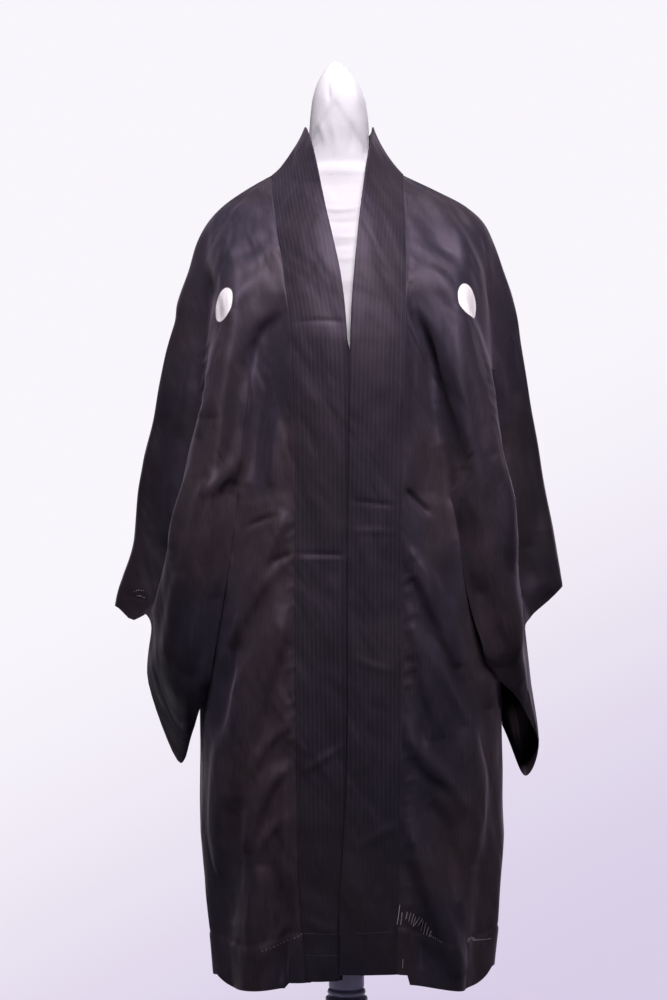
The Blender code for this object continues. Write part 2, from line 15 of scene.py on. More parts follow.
import bmesh
import bpy
import numpy as np
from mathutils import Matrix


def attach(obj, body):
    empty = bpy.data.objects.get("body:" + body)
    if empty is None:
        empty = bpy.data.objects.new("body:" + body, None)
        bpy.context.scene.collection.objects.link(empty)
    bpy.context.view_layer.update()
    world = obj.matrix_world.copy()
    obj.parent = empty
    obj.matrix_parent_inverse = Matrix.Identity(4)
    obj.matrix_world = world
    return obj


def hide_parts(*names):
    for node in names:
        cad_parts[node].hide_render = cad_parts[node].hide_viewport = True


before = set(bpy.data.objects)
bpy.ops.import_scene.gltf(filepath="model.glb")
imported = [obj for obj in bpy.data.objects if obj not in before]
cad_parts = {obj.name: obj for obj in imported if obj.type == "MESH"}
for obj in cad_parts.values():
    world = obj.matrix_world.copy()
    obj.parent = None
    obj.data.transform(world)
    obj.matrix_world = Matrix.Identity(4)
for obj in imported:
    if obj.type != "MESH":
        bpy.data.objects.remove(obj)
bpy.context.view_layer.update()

LOG = logging.getLogger("haori")
MM = 0.001
Grid = np.ndarray
Triple = tuple[float, float, float]
Piece, Finish, Socket = bpy.types.Object, bpy.types.Material, bpy.types.NodeSocket
Row = TypeVar("Row")


def rows_of(kind: Callable[..., Row], *rows: Sequence[float]) -> tuple[Row, ...]:
    """Name the columns of a table's rows."""
    return tuple(kind(*row) for row in rows)


class Side(Enum):
    """The wearer's two sides, as the sign of X."""

    RIGHT = -1
    LEFT = 1

    @property
    def word(self) -> str:
        """The side's name in piece names."""
        return self.name.lower()


class Face(Enum):
    """Which way a cloth layer looks, as the sign of Y."""

    FRONT = -1
    BACK = 1


RIGHT, LEFT = Side

# ------ the jacket's hanging shape
STATIONS = ("seam", "valley", "crest", "brow", "lip", "gap", "fold",
            "gap_back", "lip_back", "brow_back", "crest_back", "valley_back", "blade", "centre")
VALLEY, BROW, FOLD, CENTRE = (
    STATIONS.index(name) for name in ("valley", "brow", "fold", "centre"))
COURSE_HEIGHTS = (1435, 1420, 1398, 1376, 1351, 1320, 1280, 1231, 1183, 1133, 1084, 1050)


class Reach(NamedTuple):
    """How far out from the middle each station of a course lies."""

    seam: float
    valley: float
    crest: float
    lip: float
    gap: float
    fold: float


class Front(NamedTuple):
    """How far forward of the shoulder plane each station lies."""

    seam: float
    valley: float
    crest: float
    lip: float
    gap: float


class Back(NamedTuple):
    """How far behind the shoulder plane each station lies."""

    gap: float
    lip: float
    crest: float
    valley: float
    blade: float
    centre: float
    centre_x: float


REACH = {
    RIGHT: rows_of(
        Reach,
        (91, 91, 91, 91, 92, 92), (89, 96, 103, 109, 114, 118), (87, 100, 118, 132, 142, 150),
        (84, 104, 128, 148, 160, 170), (80, 106, 135, 160, 167, 183), (75, 100, 132, 164, 171, 192),
        (70, 84, 128, 160, 168, 206), (63, 97, 132, 161, 168, 216), (62, 111, 140, 166, 168, 227),
        (61, 117, 146, 176, 172, 237), (60, 123, 153, 187, 175, 248), (60, 128, 160, 196, 181, 255)),
    LEFT: rows_of(
        Reach,
        (69, 69, 69, 69, 70, 70), (69, 77, 85, 91, 97, 101), (69, 84, 108, 125, 135, 144),
        (69, 92, 120, 142, 155, 168), (69, 96, 128, 155, 163, 180), (69, 95, 128, 161, 168, 191),
        (69, 80, 124, 163, 170, 204), (68, 93, 126, 164, 172, 212), (67, 105, 135, 171, 173, 220),
        (66, 109, 141, 177, 169, 228), (65, 116, 150, 186, 174, 236), (64, 121, 156, 191, 178, 243)),
}
FRONT = rows_of(
    Front,
    (5, 4, 3, 1, 0), (24, 20, 15, 9, 5), (45, 41, 32, 19, 11), (62, 57, 46, 28, 19), (77, 74, 66, 40, 27),
    (98, 93, 88, 52, 33), (116, 112, 111, 62, 38), (134, 113, 127, 74, 41), (140, 112, 134, 88, 42),
    (142, 114, 138, 100, 43), (142, 116, 140, 104, 42), (142, 118, 141, 103, 40))
BACK = rows_of(
    Back,
    (12, 22, 42, 60, 76, 84, -10), (14, 30, 50, 68, 82, 88, -9), (16, 38, 62, 82, 95, 98, -8),
    (22, 46, 72, 92, 104, 107, -7), (28, 54, 80, 99, 111, 114, -6), (32, 62, 88, 104, 118, 120, -5),
    (36, 72, 96, 108, 123, 126, -4), (38, 80, 106, 110, 127, 130, -3), (40, 86, 114, 110, 129, 132, -2),
    (40, 90, 120, 110, 130, 133, -1), (38, 90, 122, 111, 130, 134, 0), (36, 88, 122, 112, 130, 134, 0))
BROW_ACROSS, BROW_DEPTH = 0.55, 0.35
VALLEY_BACK_SHARE, BLADE_SHARE = 0.78, 0.42
ARM_TOP, ARM_END = 6, 11  # the courses between which the sleeve is sewn on
ARM_CROSSINGS = (6.0, 5.45, 4.85, 3.1, 1.65, 1.0)  # stations of that seam on these courses
NECK_COURSE = 1.1  # the course of the neckline at the centre back

# the courses below the armhole: reach, depth and height of each station but the inner ones
SLEEVE_COURSES = {
    RIGHT: (
        ((134, -120, 993), (168, -138, 993), (192, -128, 993), (209, -98, 993), (193, -36, 993),
         (259, 0, 993), (194, 34, 993), (206, 82, 993), (186, 108, 993), (164, 118, 993),
         (132, 116, 993)),
        ((143, -119, 935), (178, -130, 930), (204, -114, 935), (221, -84, 943), (210, -34, 948),
         (272, 0, 950), (208, 32, 948), (216, 72, 943), (202, 98, 935), (176, 112, 930),
         (150, 112, 935)),
        ((160, -106, 845), (190, -108, 820), (222, -86, 882), (230, -66, 912), (230, -32, 922),
         (278, 0, 930), (228, 30, 922), (226, 40, 912), (216, 66, 882), (196, 88, 830),
         (186, 84, 860)),
        ((182, -52, 770), (201, -16, 723), (240, -34, 832), (234, -50, 886), (243, -28, 903),
         (282, 0, 911), (242, 28, 903), (234, 14, 886), (240, -26, 832), (202, -8, 723),
         (188, -44, 771)),
    ),
    LEFT: (
        ((131, -121, 993), (162, -138, 993), (184, -128, 993), (198, -98, 993), (184, -36, 993),
         (252, 0, 993), (185, 34, 993), (196, 82, 993), (180, 108, 993), (160, 118, 993),
         (130, 117, 993)),
        ((139, -124, 938), (170, -132, 935), (192, -114, 940), (205, -84, 945), (196, -34, 950),
         (259, 0, 957), (195, 32, 950), (202, 70, 945), (190, 98, 940), (170, 112, 935),
         (148, 114, 938)),
        ((155, -119, 878), (186, -112, 866), (208, -86, 862), (210, -64, 912), (213, -32, 924),
         (261, 0, 945), (211, 30, 924), (207, 40, 912), (210, 64, 862), (204, 84, 830),
         (190, 84, 860)),
        ((168, -100, 840), (204, -66, 803), (232, -12, 752), (214, -46, 886), (223, -26, 900),
         (263, 0, 935), (221, 28, 900), (215, 14, 886), (234, -4, 748), (218, -2, 704),
         (190, 8, 765)),
    ),
}
SEWN_FROM = {RIGHT: float(VALLEY), LEFT: float(BROW)}
SEWN_TO = {RIGHT: float(BROW), LEFT: BROW + 0.6}


class Skirt(NamedTuple):
    """One level of the body below the armholes."""

    z: float
    seam_right: float
    side_right: float
    seam_left: float
    side_left: float
    front: float
    back: float
    side_front: float
    side_back: float
    centre_x: float


SKIRT = rows_of(
    Skirt,
    (1050, 60, 172, 64, 180, -142, 134, -20, 0, 0), (910, 60, 173, 63, 181, -143, 135, -20, 1, 0),
    (720, 58, 176, 63, 185, -145, 137, -27, 11, 3), (640, 57, 175, 62, 185, -146, 139, -30, 15, 4),
    (570, 54, 169, 60, 181, -147, 141, -33, 19, 5), (520, 49, 163, 58, 178, -148, 142, -35, 22, 6),
    (460, 46, 155, 57, 172, -148, 143, -38, 25, 6))
SLIT_TOP, GUSSET_TOP = 1050.0, 910.0
SLIT_TURN, SLIT_LAG, SLIT_SOFT = 1.6, 0.6, 0.12  # how the body eases into its lower shape
SEAM_SQUARE, SIDE_SQUARE = 0.8, 0.9  # how square a level cut of the body is in depth and width


class Hem(NamedTuple):
    """Hem heights at the inner edge, the middle and the side of a panel."""

    inner: float
    middle: float
    side: float


HEMS = {
    (RIGHT, Face.FRONT): Hem(476, 469, 461), (LEFT, Face.FRONT): Hem(481, 470, 470),
    (RIGHT, Face.BACK): Hem(466, 467, 461), (LEFT, Face.BACK): Hem(466, 467, 470),
}


class Flute(NamedTuple):
    """A hanging fold: where across the panel, how wide, how deep and where it starts."""

    across: float
    width: float
    depth: float
    top: float


FLUTES = {
    (RIGHT, Face.FRONT): rows_of(
        Flute,
        (0.16, 0.07, -5, 800), (0.34, 0.12, 6, 860), (0.62, 0.13, -8, 820), (0.84, 0.10, 5, 760)),
    (LEFT, Face.FRONT): rows_of(
        Flute,
        (0.14, 0.08, -4, 760), (0.36, 0.10, 6, 740), (0.60, 0.12, -8, 900), (0.82, 0.10, 6, 820)),
    (RIGHT, Face.BACK): rows_of(
        Flute,
        (0.20, 0.08, 10, 960), (0.38, 0.09, -12, 900), (0.58, 0.09, 13, 980), (0.80, 0.09, -11, 860)),
    (LEFT, Face.BACK): rows_of(
        Flute,
        (0.18, 0.07, -9, 920), (0.34, 0.08, 12, 940), (0.56, 0.10, -12, 860), (0.76, 0.09, 12, 960)),
}


class Edge(NamedTuple):
    """A point of the collar's free edge, and the place of the collar seam beside it.

    That place is a height down the front, and a course of the neckline behind the neck.
    """

    seam: float
    x: float
    y: float
    z: float


COLLAR_FRONT = {
    RIGHT: rows_of(
        Edge,
        (484, -8, -143, 484), (560, -6, -143, 560), (640, -3, -143, 640), (720, -1, -144, 720),
        (800, -1, -145, 800), (900, -1, -146, 900), (1000, -0.5, -146, 1000), (1100, 0, -146, 1100),
        (1190, 1, -146, 1190), (1225, 0.5, -145, 1222), (1256, -2, -138, 1262), (1288, -7, -126, 1303),
        (1326, -17, -104, 1352), (1362, -27, -78, 1398), (1398, -36, -53, 1442), (1422, -43, -28, 1474),
        (1435, -49.5, 4, 1495)),
    LEFT: rows_of(
        Edge,
        (492, -9, -151, 492), (560, -9.5, -151, 560), (640, -5, -150, 640), (720, -1, -149, 720),
        (800, 0.5, -148, 800), (900, 0.7, -147, 900), (1000, 1, -147, 1000), (1100, 1.5, -147, 1100),
        (1190, 2.5, -147, 1190), (1225, 3, -145, 1222), (1256, 4.5, -138, 1262), (1288, 7.5, -126, 1303),
        (1326, 12, -104, 1352), (1362, 17, -78, 1398), (1398, 23, -53, 1442), (1422, 29, -28, 1474),
        (1435, 31.5, 4, 1495)),
}
COLLAR_ROLL = (3.0, -3.0, -4.5)  # how far the band bows outwards, or inwards below 0
COLLAR_ROLL_AT = (1380.0, 1450.0, 1490.0)
COLLAR_NECK = {
    RIGHT: rows_of(
        Edge,
        (0.20, -49, 17, 1492), (0.45, -45.5, 32, 1488.5), (0.75, -36, 52, 1482.5), (1.10, -10, 65, 1478)),
    LEFT: rows_of(
        Edge,
        (0.20, 31, 17, 1492), (0.45, 27.5, 32, 1488.5), (0.75, 17, 52, 1482.5), (1.10, -10, 65, 1478)),
}

# ------ curves and cloth grids
UNDERLAP = 5.0  # how far one cloth runs on beneath its neighbour at a seam
UNDERLAP_DROP = 1.4  # how much lower it lies there beneath the collar
SEAM_DROP = 0.15  # how much lower it lies there beneath a cloth as thin as itself
SHORT_ROW = 26.0  # rows shorter than this run on less
CLOTH_WALL, BAND_WALL = 0.7, 2.4
FACING_STEP = 0.05  # how far apart in courses and stations the hull is read to face it
TINY = 1e-9  # keeps a length from being 0
FACING_ROWS = 36  # rows over which a cloth goes over to its own direction


def smooth(values: Any, at: Any) -> Grid:
    """Read a monotone cubic through rows of values spaced 1 apart.

    Args:
        values: One row a step, each a number or an array.
        at: Where to read, counted in steps.

    Returns:
        The values there, one row for each place.
    """
    values = np.asarray(values, float)
    at = np.atleast_1d(np.asarray(at, float))
    steps = np.diff(values, axis=0)
    slopes = np.zeros_like(values)
    before, after = steps[:-1], steps[1:]
    agree = before * after > 0
    slopes[1:-1] = np.where(agree, 2 * before * after / np.where(agree, before + after, 1), 0)
    slopes[0], slopes[-1] = steps[0], steps[-1]
    low = np.clip(np.floor(at).astype(int), 0, len(values) - 2)
    t = (at - low).reshape((-1,) + (1,) * (values.ndim - 1))
    return ((2 * t**3 - 3 * t**2 + 1) * values[low] + (t**3 - 2 * t**2 + t) * slopes[low]
            + (3 * t**2 - 2 * t**3) * values[low + 1] + (t**3 - t**2) * slopes[low + 1])


def ease(t: Any) -> Any:
    """Go from 0 to 1 with soft ends."""
    t = np.clip(t, 0.0, 1.0)
    return t * t * (3 - 2 * t)


def unit(vectors: Grid) -> Grid:
    """Scale vectors to length 1."""
    return vectors / np.maximum(np.linalg.norm(vectors, axis=-1, keepdims=True), TINY)


def read_column(rows: Sequence[Any], column: str, z: Any) -> Any:
    """Read one column of a table whose rows go down in height, straight between rows."""
    return np.interp(z, [row.z for row in reversed(rows)],
                     [getattr(row, column) for row in reversed(rows)])


def run_lengths(grid: Grid, axis: int) -> Grid:
    """Add up the distance along one axis of a grid, from 0 at its start.

    Args:
        grid: Points in rows and columns.
        axis: The axis to go along.

    Returns:
        One distance for each point.
    """
    steps = np.linalg.norm(np.diff(grid, axis=axis), axis=-1)
    start = np.zeros_like(np.take(steps, [0], axis=axis))
    return np.concatenate([start, np.cumsum(steps, axis=axis)], axis=axis)


class Drape:
    """The hanging shape of one side of the jacket."""

    def __init__(self, side: Side) -> None:
        """Stack the courses of this side.

        Args:
            side: The side of the jacket.
        """
        self.side = side
        courses = [self._upper_course(index) for index in range(len(FRONT))]
        seam, blade, centre = courses[-1][0], courses[-1][-2], courses[-1][-1]
        for sleeve in SLEEVE_COURSES[side]:
            courses.append([seam, *sleeve, blade, centre])
        self.courses = np.array(courses, float)

    def _upper_course(self, index: int) -> list[tuple[float, float, float]]:
        """List the stations of one course above the armhole's end.

        Args:
            index: The course, counted from the top.

        Returns:
            Reach, depth and height of each station.
        """
        reach, front, back = REACH[self.side][index], FRONT[index], BACK[index]
        brow = reach.crest + BROW_ACROSS * (reach.lip - reach.crest)
        brow_front = front.crest + BROW_DEPTH * (front.lip - front.crest)
        brow_back = back.crest + BROW_DEPTH * (back.lip - back.crest)
        places = (
            (reach.seam, -front.seam), (reach.valley, -front.valley),
            (reach.crest, -front.crest), (brow, -brow_front), (reach.lip, -front.lip),
            (reach.gap, -front.gap), (reach.fold, 0), (reach.gap, back.gap),
            (reach.lip, back.lip), (brow, brow_back), (reach.crest, back.crest),
            (reach.crest * VALLEY_BACK_SHARE, back.valley),
            (reach.crest * BLADE_SHARE, back.blade),
            (self.side.value * back.centre_x, back.centre))
        return [(x, y, COURSE_HEIGHTS[index]) for x, y in places]

    def hull(self, stations: Any, course: float) -> Grid:
        """Find the points at the given stations of a course, as reach, depth and height."""
        return smooth(smooth(self.courses, course)[0], stations)

    def course_at(self, z: Any) -> Any:
        """Find the course that lies at a height, above the armhole's end."""
        return np.interp(-np.asarray(z), -self.courses[:ARM_END + 1, 0, 2],
                         np.arange(ARM_END + 1))

    @staticmethod
    def armhole(course: float) -> tuple[float, float]:
        """Find the stations at which the armhole seam crosses a course, front and back.

        Args:
            course: The course.

        Returns:
            The two stations.
        """
        at = min(max(course, ARM_TOP), ARM_END) - ARM_TOP
        crossing = float(smooth([[station] for station in ARM_CROSSINGS], at)[0][0])
        return crossing, 2 * FOLD - crossing

    @staticmethod
    def neckline(course: float) -> float:
        """Find the station at which the neckline crosses a course behind the shoulder."""
        return FOLD + (CENTRE - FOLD) * min(course / NECK_COURSE, 1.0)

    def body_stations(self, face: Face, course: float, shares: Grid) -> Grid:
        """List the stations of one row of a body panel, from its inner edge outwards.

        Args:
            face: The front or the back panel.
            course: The course.
            shares: Shares of the way outwards.

        Returns:
            One station for each share.
        """
        front, back = self.armhole(course)
        if face is Face.FRONT:
            return front * shares
        inner = self.neckline(course)
        return inner + (back - inner) * shares

    def course_row(self, face: Face, course: float, shares: Grid) -> Grid:
        """Lay one row of a body panel along a course, from its inner edge outwards."""
        return self.hull(self.body_stations(face, course, shares), course)

    def facing(self, stations: Grid, course: float) -> Grid:
        """Find which way the whole hull looks at the given stations of a course.

        Args:
            stations: The stations.
            course: The course, no lower than the armhole's end.

        Returns:
            World directions, the same for every piece that meets there.
        """
        above, below = max(course - FACING_STEP, 0.0), min(course, ARM_END)
        along = self.hull(stations, below) - self.hull(stations, min(above, below - FACING_STEP))
        across = (self.hull(np.minimum(stations + FACING_STEP, CENTRE), below)
                  - self.hull(np.maximum(stations - FACING_STEP, 0), below))
        return unit(np.cross(self.world(across), self.world(along))) * self.side.value

    def skirt_edge(self, face: Face, across: Any, z: Any) -> tuple[Any, Any]:
        """Find where the body hangs below the armholes, before it eases into the course above.

        Args:
            face: The front or the back panel.
            across: The share of the way from the inner edge to the side.
            z: The height.

        Returns:
            Reach and depth.
        """
        side, front = self.side.word, face is Face.FRONT
        edge = read_column(SKIRT, "side_" + side, z)
        inner = (read_column(SKIRT, "seam_" + side, z) if front
                 else self.side.value * read_column(SKIRT, "centre_x", z))
        depth = read_column(SKIRT, "front" if front else "back", z)
        turn = read_column(SKIRT, "side_front" if front else "side_back", z)
        angle = across * math.pi / 2
        x = inner + (edge - inner) * np.sin(angle) ** SIDE_SQUARE
        y = turn + (depth - turn) * np.maximum(np.cos(angle), 0.0) ** SEAM_SQUARE
        out_x, out_y = x / edge, y / abs(depth)
        length = np.hypot(out_x, out_y)
        bulge = sum(
            flute.depth * ease((flute.top - z) / (flute.top - SKIRT[-1].z))
            * np.exp(-((across - flute.across) / flute.width) ** 2)
            for flute in FLUTES[self.side, face])
        return x + out_x / length * bulge, y + out_y / length * bulge

    def skirt_row(self, face: Face, down: float, shares: Grid) -> Grid:
        """Lay one row of the body below the armhole, at a share of the way to the hem.

        Args:
            face: The front or the back panel.
            down: The share of the way from the armhole to the hem.
            shares: Shares of the way outwards.

        Returns:
            Reach, depth and height of each point.
        """
        start = self.course_row(face, ARM_END, shares)
        hem = HEMS[self.side, face]
        bottom = smooth([[hem.inner], [hem.middle], [hem.side]], 2 * shares)[:, 0]
        z = SLIT_TOP + (bottom - SLIT_TOP) * down
        x, y = self.skirt_edge(face, shares, z)
        left = np.maximum(1 - (SLIT_TOP - z) / (SLIT_TOP - GUSSET_TOP), 0.0)
        turned = (1 - left ** SLIT_TURN) * ease((1 - left) / SLIT_SOFT)
        return np.stack([start[:, 0] + (x - start[:, 0]) * turned ** SLIT_LAG,
                         start[:, 1] + (y - start[:, 1]) * turned, z], axis=-1)

    def world(self, grid: Grid) -> Grid:
        """Turn reach into world X, still in millimetres."""
        return grid * np.array([self.side.value, 1.0, 1.0])


class Cloth:
    """One piece of cloth as a grid of points, rows down and columns across."""

    def __init__(self, grid: Grid, outward: Grid) -> None:
        """Keep the grid and find which way its outside looks.

        Args:
            grid: World points in millimetres.
            outward: Roughly the way out of the cloth at each point.
        """
        self.grid = grid
        self.across = run_lengths(grid, 1)
        self.down = np.broadcast_to(
            run_lengths(grid, 0).mean(axis=1, keepdims=True), grid.shape[:2])
        self.turn = 1.0
        self.turn = 1.0 if (self.normals() * outward).sum() > 0 else -1.0
        self.facing = self.normals()

    def face_like(self, hull: Grid) -> None:
        """Take the upper rows' outward directions from the shared hull, and part from it softly.

        Args:
            hull: The hull's directions for the upper rows.
        """
        count = len(hull)
        hull = hull * (1.0 if (self.facing[:count] * hull).sum() > 0 else -1.0)
        below = self.facing[count:]
        part = ease(np.arange(1, len(below) + 1) / FACING_ROWS)[:, None, None]
        self.facing = np.concatenate([hull, unit(below * part + hull[-1] * (1 - part))])

    def lay(self, height: Grid) -> None:
        """Move the flat cloth outwards by a height at each point."""
        self.grid = self.grid + self.facing * height[..., None]

    def normals(self) -> Grid:
        """Find the outward direction at each point.

        Returns:
            Unit vectors.
        """
        along = np.gradient(self.grid, axis=0)
        across = np.gradient(self.grid, axis=1)
        return unit(np.cross(across, along)) * self.turn

    def push(self, height: Grid) -> None:
        """Move the cloth outwards by a height at each point."""
        self.grid = self.grid + self.normals() * height[..., None]

    def tuck(self, start: bool, width: Any = UNDERLAP, drop: Any = UNDERLAP_DROP) -> None:
        """Run the cloth on beneath its neighbour along its first or last column.

        Args:
            start: True for the first column and False for the last.
            width: How far it runs on, for the whole edge or each row.
            drop: How much lower it lies there.
        """
        edge, inner = (0, 1) if start else (-1, -2)
        normal = self.normals()[:, edge]
        rows = len(self.grid)
        room = ease(np.ptp(self.across, axis=1) / SHORT_ROW)
        width = (np.broadcast_to(width, rows) * room)[:, None]
        drop = (np.broadcast_to(drop, rows) * room)[:, None]
        point = self.grid[:, edge] - normal * drop
        beyond = point + unit(self.grid[:, edge] - self.grid[:, inner]) * width
        self.grid[:, edge] = point
        beyond_across = self.across[:, edge] + (-width[:, 0] if start else width[:, 0])
        pair = [beyond[:, None], self.grid] if start else [self.grid, beyond[:, None]]
        runs = ([beyond_across[:, None], self.across] if start
                else [self.across, beyond_across[:, None]])
        self.grid = np.concatenate(pair, axis=1)
        self.across = np.concatenate(runs, axis=1)
        self.down = np.concatenate([self.down[:, :1], self.down], axis=1)


# ------ listed creases
class Crease(NamedTuple):
    """A soft ridge, or a trough where its height is below 0, on a curve through three places.

    The places are X and height in millimetres. Skew makes the side towards +X steeper where it
    is above 0, and the other side where it is below.
    """

    x0: float
    z0: float
    x1: float
    z1: float
    x2: float
    z2: float
    width: float
    height: float
    skew: float = 0.0


CURVE_STEPS = 18
CREASE_SLIM = 0.86  # how much narrower the creases are laid than their tables say
CREASE_REACH = 2.6  # widths from a crease's line at which it has died out
CREASE_END = 0.02  # the share of its length at which a crease stops dying down
CREASE_TAPER = 0.75  # how sharply it dies down
FACING = 2.2  # how fast a crease fades where the cloth turns edge-on


def bent_line(places: Any, steps: int) -> Grid:
    """Draw the curve through the three places of a crease or of a row of stitches.

    Args:
        places: The crease or the row.
        steps: How many points the curve has.

    Returns:
        X and height of each point.
    """
    t = np.linspace(0, 1, steps)[:, None]
    start, middle, end = np.array([[places.x0, places.z0], [places.x1, places.z1],
                                   [places.x2, places.z2]])
    control = 2 * middle - (start + end) / 2
    return (1 - t) ** 2 * start + 2 * t * (1 - t) * control + t ** 2 * end


def crease_heights(points: Grid, creases: Sequence[Crease]) -> Grid:
    """Add up the heights of creases over a set of points.

    Args:
        points: World points, of any grid shape.
        creases: The creases.

    Returns:
        One height for each point.
    """
    shape = points.shape[:-1]
    x, z = points[..., 0].ravel(), points[..., 2].ravel()
    total = np.zeros(len(x))
    for crease in creases:
        line = bent_line(crease, CURVE_STEPS)
        reach = CREASE_REACH * crease.width
        near = np.flatnonzero((x > line[:, 0].min() - reach) & (x < line[:, 0].max() + reach)
                              & (z > line[:, 1].min() - reach) & (z < line[:, 1].max() + reach))
        if not len(near):
            continue
        place = np.stack([x[near], z[near]], axis=-1)
        best = np.full(len(near), np.inf)
        along, lean = np.zeros(len(near)), np.zeros(len(near))
        for step in range(CURVE_STEPS - 1):
            start, run = line[step], line[step + 1] - line[step]
            share = np.clip((place - start) @ run / (run @ run), 0, 1)
            gap = place - start - share[:, None] * run
            distance = np.hypot(gap[:, 0], gap[:, 1])
            closer = distance < best
            best = np.where(closer, distance, best)
            along = np.where(closer, (step + share) / (CURVE_STEPS - 1), along)
            lean = np.where(closer, np.sign(gap[:, 0]), lean)
        width = crease.width * CREASE_SLIM * (1 - crease.skew * lean)
        taper = np.sin(np.pi * np.clip(along, CREASE_END, 1 - CREASE_END)) ** CREASE_TAPER
        total[near] += crease.height * taper * np.exp(-(best / width) ** 2)
    return total.reshape(shape)


class Wave(NamedTuple):
    """One slow ripple of the cloth: its length across and down, its height and its start."""

    across: float
    down: float
    height: float
    start: float


WAVES = rows_of(
    Wave,
    (142, 610, 1.1, 0.4), (88, 340, 0.9, 2.1), (57, 260, 0.6, 4.0), (-73, 190, 0.7, 1.3),
    (39, 150, 0.35, 5.2), (-48, 120, 0.4, 3.3))
WAVE_DEPTH = 0.7  # how much of a point's depth counts as going across
WAVE_BEND, WAVE_BEND_DOWN, WAVE_BEND_DEPTH = 26.0, 210.0, 90  # how the ripples wander


def ripple(points: Grid) -> Grid:
    """Work out the slow ripples that no hanging cloth is without.

    Args:
        points: World points, of any grid shape.

    Returns:
        One height for each point.
    """
    x, y, z = points[..., 0], points[..., 1], points[..., 2]
    run = x + WAVE_DEPTH * y + WAVE_BEND * np.sin(z / WAVE_BEND_DOWN + y / WAVE_BEND_DEPTH)
    return sum(wave.height * np.sin(2 * np.pi * (run / wave.across + z / wave.down) + wave.start)
               for wave in WAVES)


# ------ meshes
WELD = 0.00001  # metres within which points are one
UV_NAME = "cloth"


def join_cloth(name: str, cloths: Sequence[Cloth], finish: Finish, wall: float) -> Piece:
    """Weld grids of cloth into one piece, with their own sizes as UVs, and give it thickness.

    Args:
        name: The piece's name.
        cloths: The grids.
        finish: The cloth's material.
        wall: The thickness in millimetres.

    Returns:
        The object, at the origin.
    """
    all_faces, count = [], 0
    for cloth in cloths:
        rows, columns = cloth.grid.shape[:2]
        index = count + np.arange(rows * columns).reshape(rows, columns)
        quads = np.stack([index[:-1, :-1], index[:-1, 1:], index[1:, 1:], index[1:, :-1]],
                         axis=-1).reshape(-1, 4)
        all_faces.append(quads if cloth.turn > 0 else quads[:, ::-1])
        count += rows * columns
    faces = np.concatenate(all_faces)
    points = np.concatenate([cloth.grid.reshape(-1, 3) for cloth in cloths])
    places = np.concatenate([np.stack([cloth.across, cloth.down], axis=-1).reshape(-1, 2)
                             for cloth in cloths])
    mesh = bpy.data.meshes.new(name)
    mesh.from_pydata((points * MM).tolist(), [], faces.tolist())
    layer = mesh.uv_layers.new(name=UV_NAME)
    layer.data.foreach_set("uv", (places * MM)[faces].ravel())
    weld(mesh, cut_edges=wall < BAND_WALL)
    mesh.materials.append(finish)
    piece = link(name, mesh)
    thickness = piece.modifiers.new("Thickness", "SOLIDIFY")
    thickness.thickness, thickness.offset = wall * MM, 0.0
    return piece


def weld(mesh: bpy.types.Mesh, cut_edges: bool = False) -> None:
    """Join points that lie on each other and smooth the shading.

    Args:
        mesh: The mesh.
        cut_edges: True to keep the open edges crisp.
    """
    bm = bmesh.new()
    bm.from_mesh(mesh)
    bmesh.ops.remove_doubles(bm, verts=bm.verts, dist=WELD)
    bmesh.ops.dissolve_degenerate(bm, dist=WELD, edges=bm.edges)
    for edge in bm.edges:
        edge.smooth = not (cut_edges and edge.is_boundary)
    bm.to_mesh(mesh)
    bm.free()
    mesh.shade_smooth()


def link(name: str, data: Any) -> Piece:
    """Put new data into the scene as an object at the origin.

    Args:
        name: The object's name.
        data: Its mesh, light or camera.

    Returns:
        The object.
    """
    made = bpy.data.objects.new(name, data)
    bpy.context.scene.collection.objects.link(made)
    return made


def closed_mesh(name: str, loops: Grid, material: Finish) -> Piece:
    """Make a solid from closed loops stacked upwards, with flat ends.

    Args:
        name: The piece's name.
        loops: Points in millimetres, one row a loop, anticlockwise seen from above.
        material: The finish.

    Returns:
        The object, at the origin.
    """
    rows, sides = loops.shape[:2]
    index = np.arange(rows * sides).reshape(rows, sides)
    after = np.roll(index, -1, axis=1)
    faces = np.stack([index[:-1], after[:-1], after[1:], index[1:]], axis=-1).reshape(-1, 4)
    mesh = bpy.data.meshes.new(name)
    mesh.from_pydata((loops.reshape(-1, 3) * MM).tolist(), [],
                     faces.tolist() + [index[0, ::-1].tolist(), index[-1].tolist()])
    weld(mesh)
    mesh.materials.append(material)
    return link(name, mesh)


# ------ shader wiring
def math_method(operation: str, swapped: bool = False) -> Callable[[Wire, Any], Wire]:
    """Make an operator of Wire that adds a Math node.

    Args:
        operation: The Math node's operation.
        swapped: True where the wire stands on the right of the sign.

    Returns:
        The operator.
    """
    def work_out(wire: Wire, other: Any) -> Wire:
        """Work out one sum."""
        return wire.math(operation, *((other, wire) if swapped else (wire, other)))

    return work_out


class Wire:
    """A value in a shader, written with the arithmetic of plain numbers."""

    def __init__(self, wiring: Wiring, socket: Socket) -> None:
        """Hold a node's output socket and the tree that it is in."""
        self.wiring, self.socket = wiring, socket

    def math(self, operation: str, *values: Any) -> Wire:
        """Add a Math node."""
        return self.wiring.node("ShaderNodeMath", {"operation": operation}, *values)

    __add__ = math_method("ADD")
    __radd__ = math_method("ADD", swapped=True)
    __sub__ = math_method("SUBTRACT")
    __rsub__ = math_method("SUBTRACT", swapped=True)
    __mul__ = math_method("MULTIPLY")
    __rmul__ = math_method("MULTIPLY", swapped=True)

    def absolute(self) -> Wire:
        """Drop the sign."""
        return self.math("ABSOLUTE", self)

    def sine(self) -> Wire:
        """Take the sine."""
        return self.math("SINE", self)

    def ramp(self, start: float, end: float) -> Wire:
        """Go softly from 0 at the start value to 1 at the end value."""
        return self.wiring.node("ShaderNodeMapRange", {"interpolation_type": "SMOOTHSTEP"},
                                Value=self, From_Min=start, From_Max=end)


